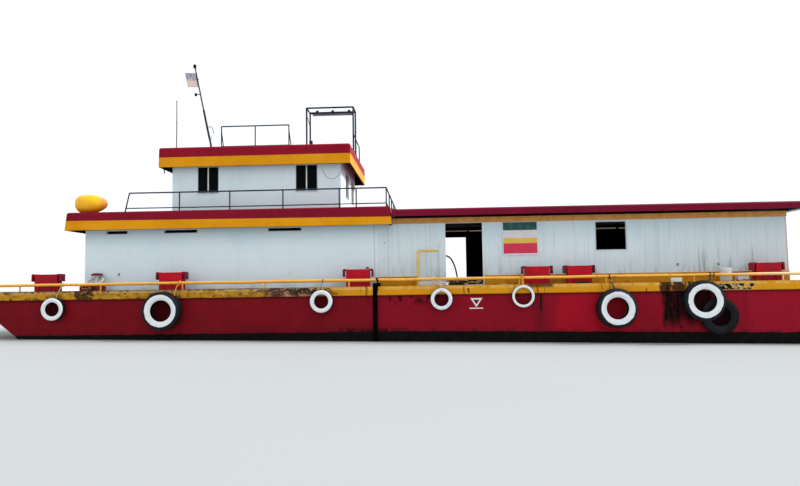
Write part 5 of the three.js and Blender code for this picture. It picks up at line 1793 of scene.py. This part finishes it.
# Columns: tyre, x at the pipe, x at the tyre, radius, how many lines, through the bore, look
LASHINGS = [
    ("tyre_1_starboard", -11.78, -11.89, 0.013, 1, False, PALE_ROPE),
    ("tyre_2_starboard", -7.96, -8.06, 0.022, 1, False, ORANGE_ROPE),
    ("tyre_3_starboard", -3.36, -3.4, 0.012, 1, False, OLD_ROPE),
    ("tyre_4_starboard", 0.31, 0.38, 0.014, 2, True, PALE_ROPE),
    ("tyre_5_starboard", 2.88, 2.885, 0.03, 1, False, ORANGE_ROPE),
    ("tyre_6_starboard", 5.57, 5.66, 0.02, 1, False, OLD_ROPE),
    ("tyre_7_starboard", 8.68, 8.5, 0.016, 2, False, OLD_ROPE),
    ("tyre_2_port", -8.5, -8.41, 0.018, 2, False, OLD_ROPE),
    ("tyre_6_port", 5.6, 5.69, 0.018, 2, False, OLD_ROPE),
    ("tyre_7_port", 8.4, 8.27, 0.018, 2, False, OLD_ROPE),
]


def make_lashings():
    for node, pipe_x, tyre_x, radius, lines, through, look in LASHINGS:
        low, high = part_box(node)
        centre = (low + high) / 2
        s = -1 if centre.y < 0 else 1
        face = low.y if s < 0 else high.y
        reach = (high.z - low.z) / 2
        form = Form()
        for line in range(lines):
            shift = 0.11 * (line - (lines - 1) / 2)
            coil = []
            for i in range(17):
                angle = TURN * (i / 16 + 0.25)
                r = DECK_RAIL_RADIUS + radius * 0.9
                along = pipe_x + shift + 0.012 * math.sin(angle)
                across = s * (DECK_RAIL_Y + r * math.cos(angle))
                coil.append((along, across, DECK_RAIL_Z + r * math.sin(angle)))
            form.rope(coil, radius)
            out = s * (DECK_RAIL_Y + DECK_RAIL_RADIUS + radius * 0.8)
            start = Vector((pipe_x + shift, out, DECK_RAIL_Z - 0.01))
            top = high.z + radius * 0.5
            x = tyre_x - shift * 0.5
            along = math.sqrt(max(reach**2 - (x - centre.x) ** 2, 0.0))
            rest = centre.z + along
            path = [start, (pipe_x + (x - pipe_x) * 0.5, s * (BELT_SIDE + 0.03), (start.z + top) / 2 - 0.01),
                    (x, s * (BELT_SIDE + 0.07), rest + radius * 0.6)]
            if through:
                bore = centre.z + along * 0.62
                path += [(x, face - s * 0.04, rest - 0.02), (x, face + s * radius * 0.5, rest - 0.09),
                         (x, face + s * radius * 0.2, bore + 0.02), (x, face - s * 0.07, bore - 0.02)]
            else:
                path.append((x + 0.01, s * (BELT_SIDE + 0.075), rest - 0.03))
            form.rope(smooth_path(path, 7), radius)
        form.done(f"lashing_{node}", look, slot="hose_rubber", sharp=60)


make_lashings()


# Things left lying on the deck


def tangle(form, draw, x, y, z, count, radius, kind=0):
    """Loose turns of rope inside a region given by pairs of X, Y and Z."""
    for _ in range(count):
        length = draw.uniform(0.25, 0.6) * (x[1] - x[0])
        start = draw.uniform(x[0], x[1] - length)
        points = []
        steps = 7
        for i in range(steps + 1):
            t = i / steps
            points.append((start + length * t, draw.uniform(*y), draw.uniform(z[0] + radius, z[1] - radius)))
        form.tube(smooth_path(points, 5), radius, 7, kind)


# Columns: name, seed, x, y, z, then the turns of each look: count, radius
TANGLES = [
    ("rope_heap_aft", 3, (-11.2, -10.3), (-3.66, -3.62), (2.63, 2.75), [(4, 0.014), (2, 0.01), (2, 0.008)]),
    ("rope_heap_middle", 4, (-4.5, -2.85), (-3.83, -3.76), (2.4, 2.6), [(9, 0.014), (3, 0.012), (2, 0.01)]),
    (
        "rope_heap_middle_aft", 5, (-6.2, -4.2), (-3.82, -3.77), (2.44, 2.59),
        [(4, 0.011), (1, 0.009), (0, 0.01)],
    ),
    ("hose_heap_doorway", 6, (0.5, 1.8), (-3.02, -2.9), (2.63, 2.78), [(6, 0.018), (3, 0.016), (4, 0.012)]),
    ("rope_heap_fore", 7, (1.9, 2.7), (-3.7, -3.6), (2.6, 2.64), [(1, 0.01), (0, 0.01), (2, 0.01)]),
    ("rope_heap_bow", 8, (9.2, 10.1), (-3.72, -3.66), (2.6, 2.66), [(3, 0.012), (1, 0.01), (1, 0.01)]),
]


def make_tangles():
    for name, seed, x, y, z, turns in TANGLES:
        draw = random.Random(seed)
        form = Form()
        for kind, (count, radius) in enumerate(turns):
            tangle(form, draw, x, y, z, count, radius, kind)
        form.done(name, [OLD_ROPE, DEBRIS, PALE_ROPE], slot="hose_rubber", sharp=60)


make_tangles()


DRUM_PLACE = (9.272, -3.27, ON_DECK)


def make_drum():
    """A pale drum with a rim and a lid on the side deck."""
    form = Form()
    body = [
        (0, 0),
        (0.165, 0),
        (0.17, 0.01),
        (0.178, 0.36),
        (0.184, 0.365),
        (0.184, 0.4),
        (0.172, 0.41),
        (0, 0.413),
    ]
    form.lathe(body, DRUM_PLACE, 2, 32)
    hoop = [(0.176, 0.18), (0.182, 0.185), (0.182, 0.2), (0.176, 0.205)]
    form.lathe(hoop, DRUM_PLACE, 2, 32, closed=True)
    form.done("deck_drum", PALE_PAINT, slot="white_plastic", sharp=40)


make_drum()

# Small boxes and bars. Columns: name, x, y, z, look, slot
BITS = [
    ("deck_box", (9.63, 9.98), (-3.3, -3.1), (ON_DECK, 2.78), "pale", "white_plastic"),
    ("loose_board", (-0.33, 0.5), (-3.42, -3.36), (ON_DECK, 2.72), "pale", "wall_paint"),
    ("grey_box", (0.62, 1.1), (-3.4, -3.25), (ON_DECK, 2.7), "dark", "dark_steel"),
    ("dark_can", (4.55, 5.0), (-3.62, -3.58), (2.6005, 2.68), "dark", "dark_steel"),
    ("small_bin", (7.45, 7.78), (-3.66, -3.58), (2.6005, 2.74), "pale", "white_plastic"),
]


def make_bits():
    looks = {"pale": PALE_PAINT, "dark": DARK_STEEL}
    for name, x, y, z, look, slot in BITS:
        form = Form()
        form.block(x, y, z)
        form.done(name, looks[look], slot=slot, bevel=0.008, sharp=30)


make_bits()


SIDE_Y = -(SIDE + 0.03)
# Lines and pipes that are led along the side. Columns: name, radius, look, slot, path
LOOSE_LINES = [
    (
        "seam_hose", 0.028, BLACK_STEEL, "hose_rubber",
        [(-1.66, -3.64, 2.87), (-1.63, -3.7, 2.83), (-1.62, -3.79, 2.66), (-1.64, -3.83, 2.45),
         (-1.69, -3.83, 2.2), (-1.7, SIDE_Y, 1.7)],
    ),
    (
        "side_pipe", 0.014, BLACK_STEEL, "dark_steel",
        [(7.28, -3.8, 2.52), (7.275, -3.8, 2.2), (7.25, SIDE_Y, 1.9), (7.23, SIDE_Y, 1.45)],
    ),
    (
        "purple_line", 0.016, PURPLE_SKIN, "hose_rubber",
        [(9.5, -3.2, 2.86), (9.7, -3.2, 2.87), (9.99, -3.2, 2.86), (10.02, -3.2, 2.63)],
    ),
    (
        "bollard_line", 0.022, BLACK_STEEL, "hose_rubber",
        [(-2.02, -3.31, 3.187), (-1.97, -3.33, 3.22), (-1.93, -3.31, 3.19)],
    ),
    ("eave_pipe", 0.018, BLACK_STEEL, "dark_steel", [(-9.02, -2.4, 6.89), (-9.02, -2.4, 6.59)]),
    ("eave_arm", 0.02, BLACK_STEEL, "dark_steel", [(-9.1, -2.36, 6.795), (-8.84, -2.2, 6.74)]),
]


def make_loose_lines():
    for name, radius, look, slot, path in LOOSE_LINES:
        form = Form()
        form.tube(path if len(path) < 3 else smooth_path(path, 6), radius, 12)
        form.done(name, look, slot=slot, sharp=50)


make_loose_lines()


# The CAD nodes that stay, with their finish

# Columns: look, nodes
KEPT = [
    (HULL_PAINT, ["hull_aft", "hull_fore"]),
    (BLACK_STEEL, ["hull_spacer"]),
    (BELT_PAINT, ["belt_aft", "belt_fore"]),
    (WALL_PAINT, [f"house_wall_{place}" for place in ("starboard", "port", "aft")]),
    (WALL_PAINT, ["house_bulkhead", "shed_wall_fore"]),
    (WALL_PAINT, [f"wheelhouse_wall_{place}" for place in ("starboard", "port", "fore", "aft")]),
    (SHED_PAINT, ["shed_wall_starboard", "shed_wall_port"]),
    (DOOR_PAINT, ["house_door", "wheelhouse_door"]),
    (HOUSE_ROOF_PAINT, ["house_roof"]),
    (SHED_ROOF_PAINT, ["shed_roof"]),
    (CABIN_ROOF_PAINT, ["wheelhouse_roof"]),
    (DARK_STEEL, ["rudder_starboard", "rudder_port"]),
    (SIGN_PAINT, ["sign"]),
]


def finish_cad():
    for look, names in KEPT:
        for name in names:
            materials = bpy.data.objects[name].data.materials
            materials.clear()
            materials.append(look)


finish_cad()


# Floor at the waterline, and light

FLOOR_SIZE = 400.0


def make_floor():
    floor = Look("floor", 0x9EA0A0, 0.9, shine=0.02)
    floor.mottle(0x9A9C9C, 0xA2A4A4, 0.05, 0.4)
    half = FLOOR_SIZE / 2
    mesh = bpy.data.meshes.new("floor")
    places = ((-half, -half), (half, -half), (half, half), (-half, half))
    corners = [(x, y, WATERLINE + WATERLINE_SLOPE * x) for x, y in places]
    mesh.from_pydata(corners, [], [(0, 1, 2, 3)])
    mesh.materials.append(floor.done())
    piece = stand("floor", mesh)


make_floor()

SKY = (0.93, 0.97, 1.0, 1.0)
SKY_STRENGTH = 1.1
SUN_STRENGTH = 5.0
SUN_ANGLE = math.radians(18)
SUN_FROM = Vector((1.0, 0.25, 0.9))


def make_light():
    world = bpy.data.worlds.new("studio")
    world.use_nodes = True
    world.node_tree.nodes["Background"].inputs["Color"].default_value = SKY
    world.node_tree.nodes["Background"].inputs["Strength"].default_value = SKY_STRENGTH
    bpy.context.scene.world = world
    data = bpy.data.lights.new("sun", "SUN")
    data.energy = SUN_STRENGTH
    data.angle = SUN_ANGLE
    lamp = stand("sun", data)
    lamp.rotation_euler = SUN_FROM.to_track_quat("Z", "Y").to_euler()
    bpy.context.scene.view_settings.view_transform = "Standard"


make_light()
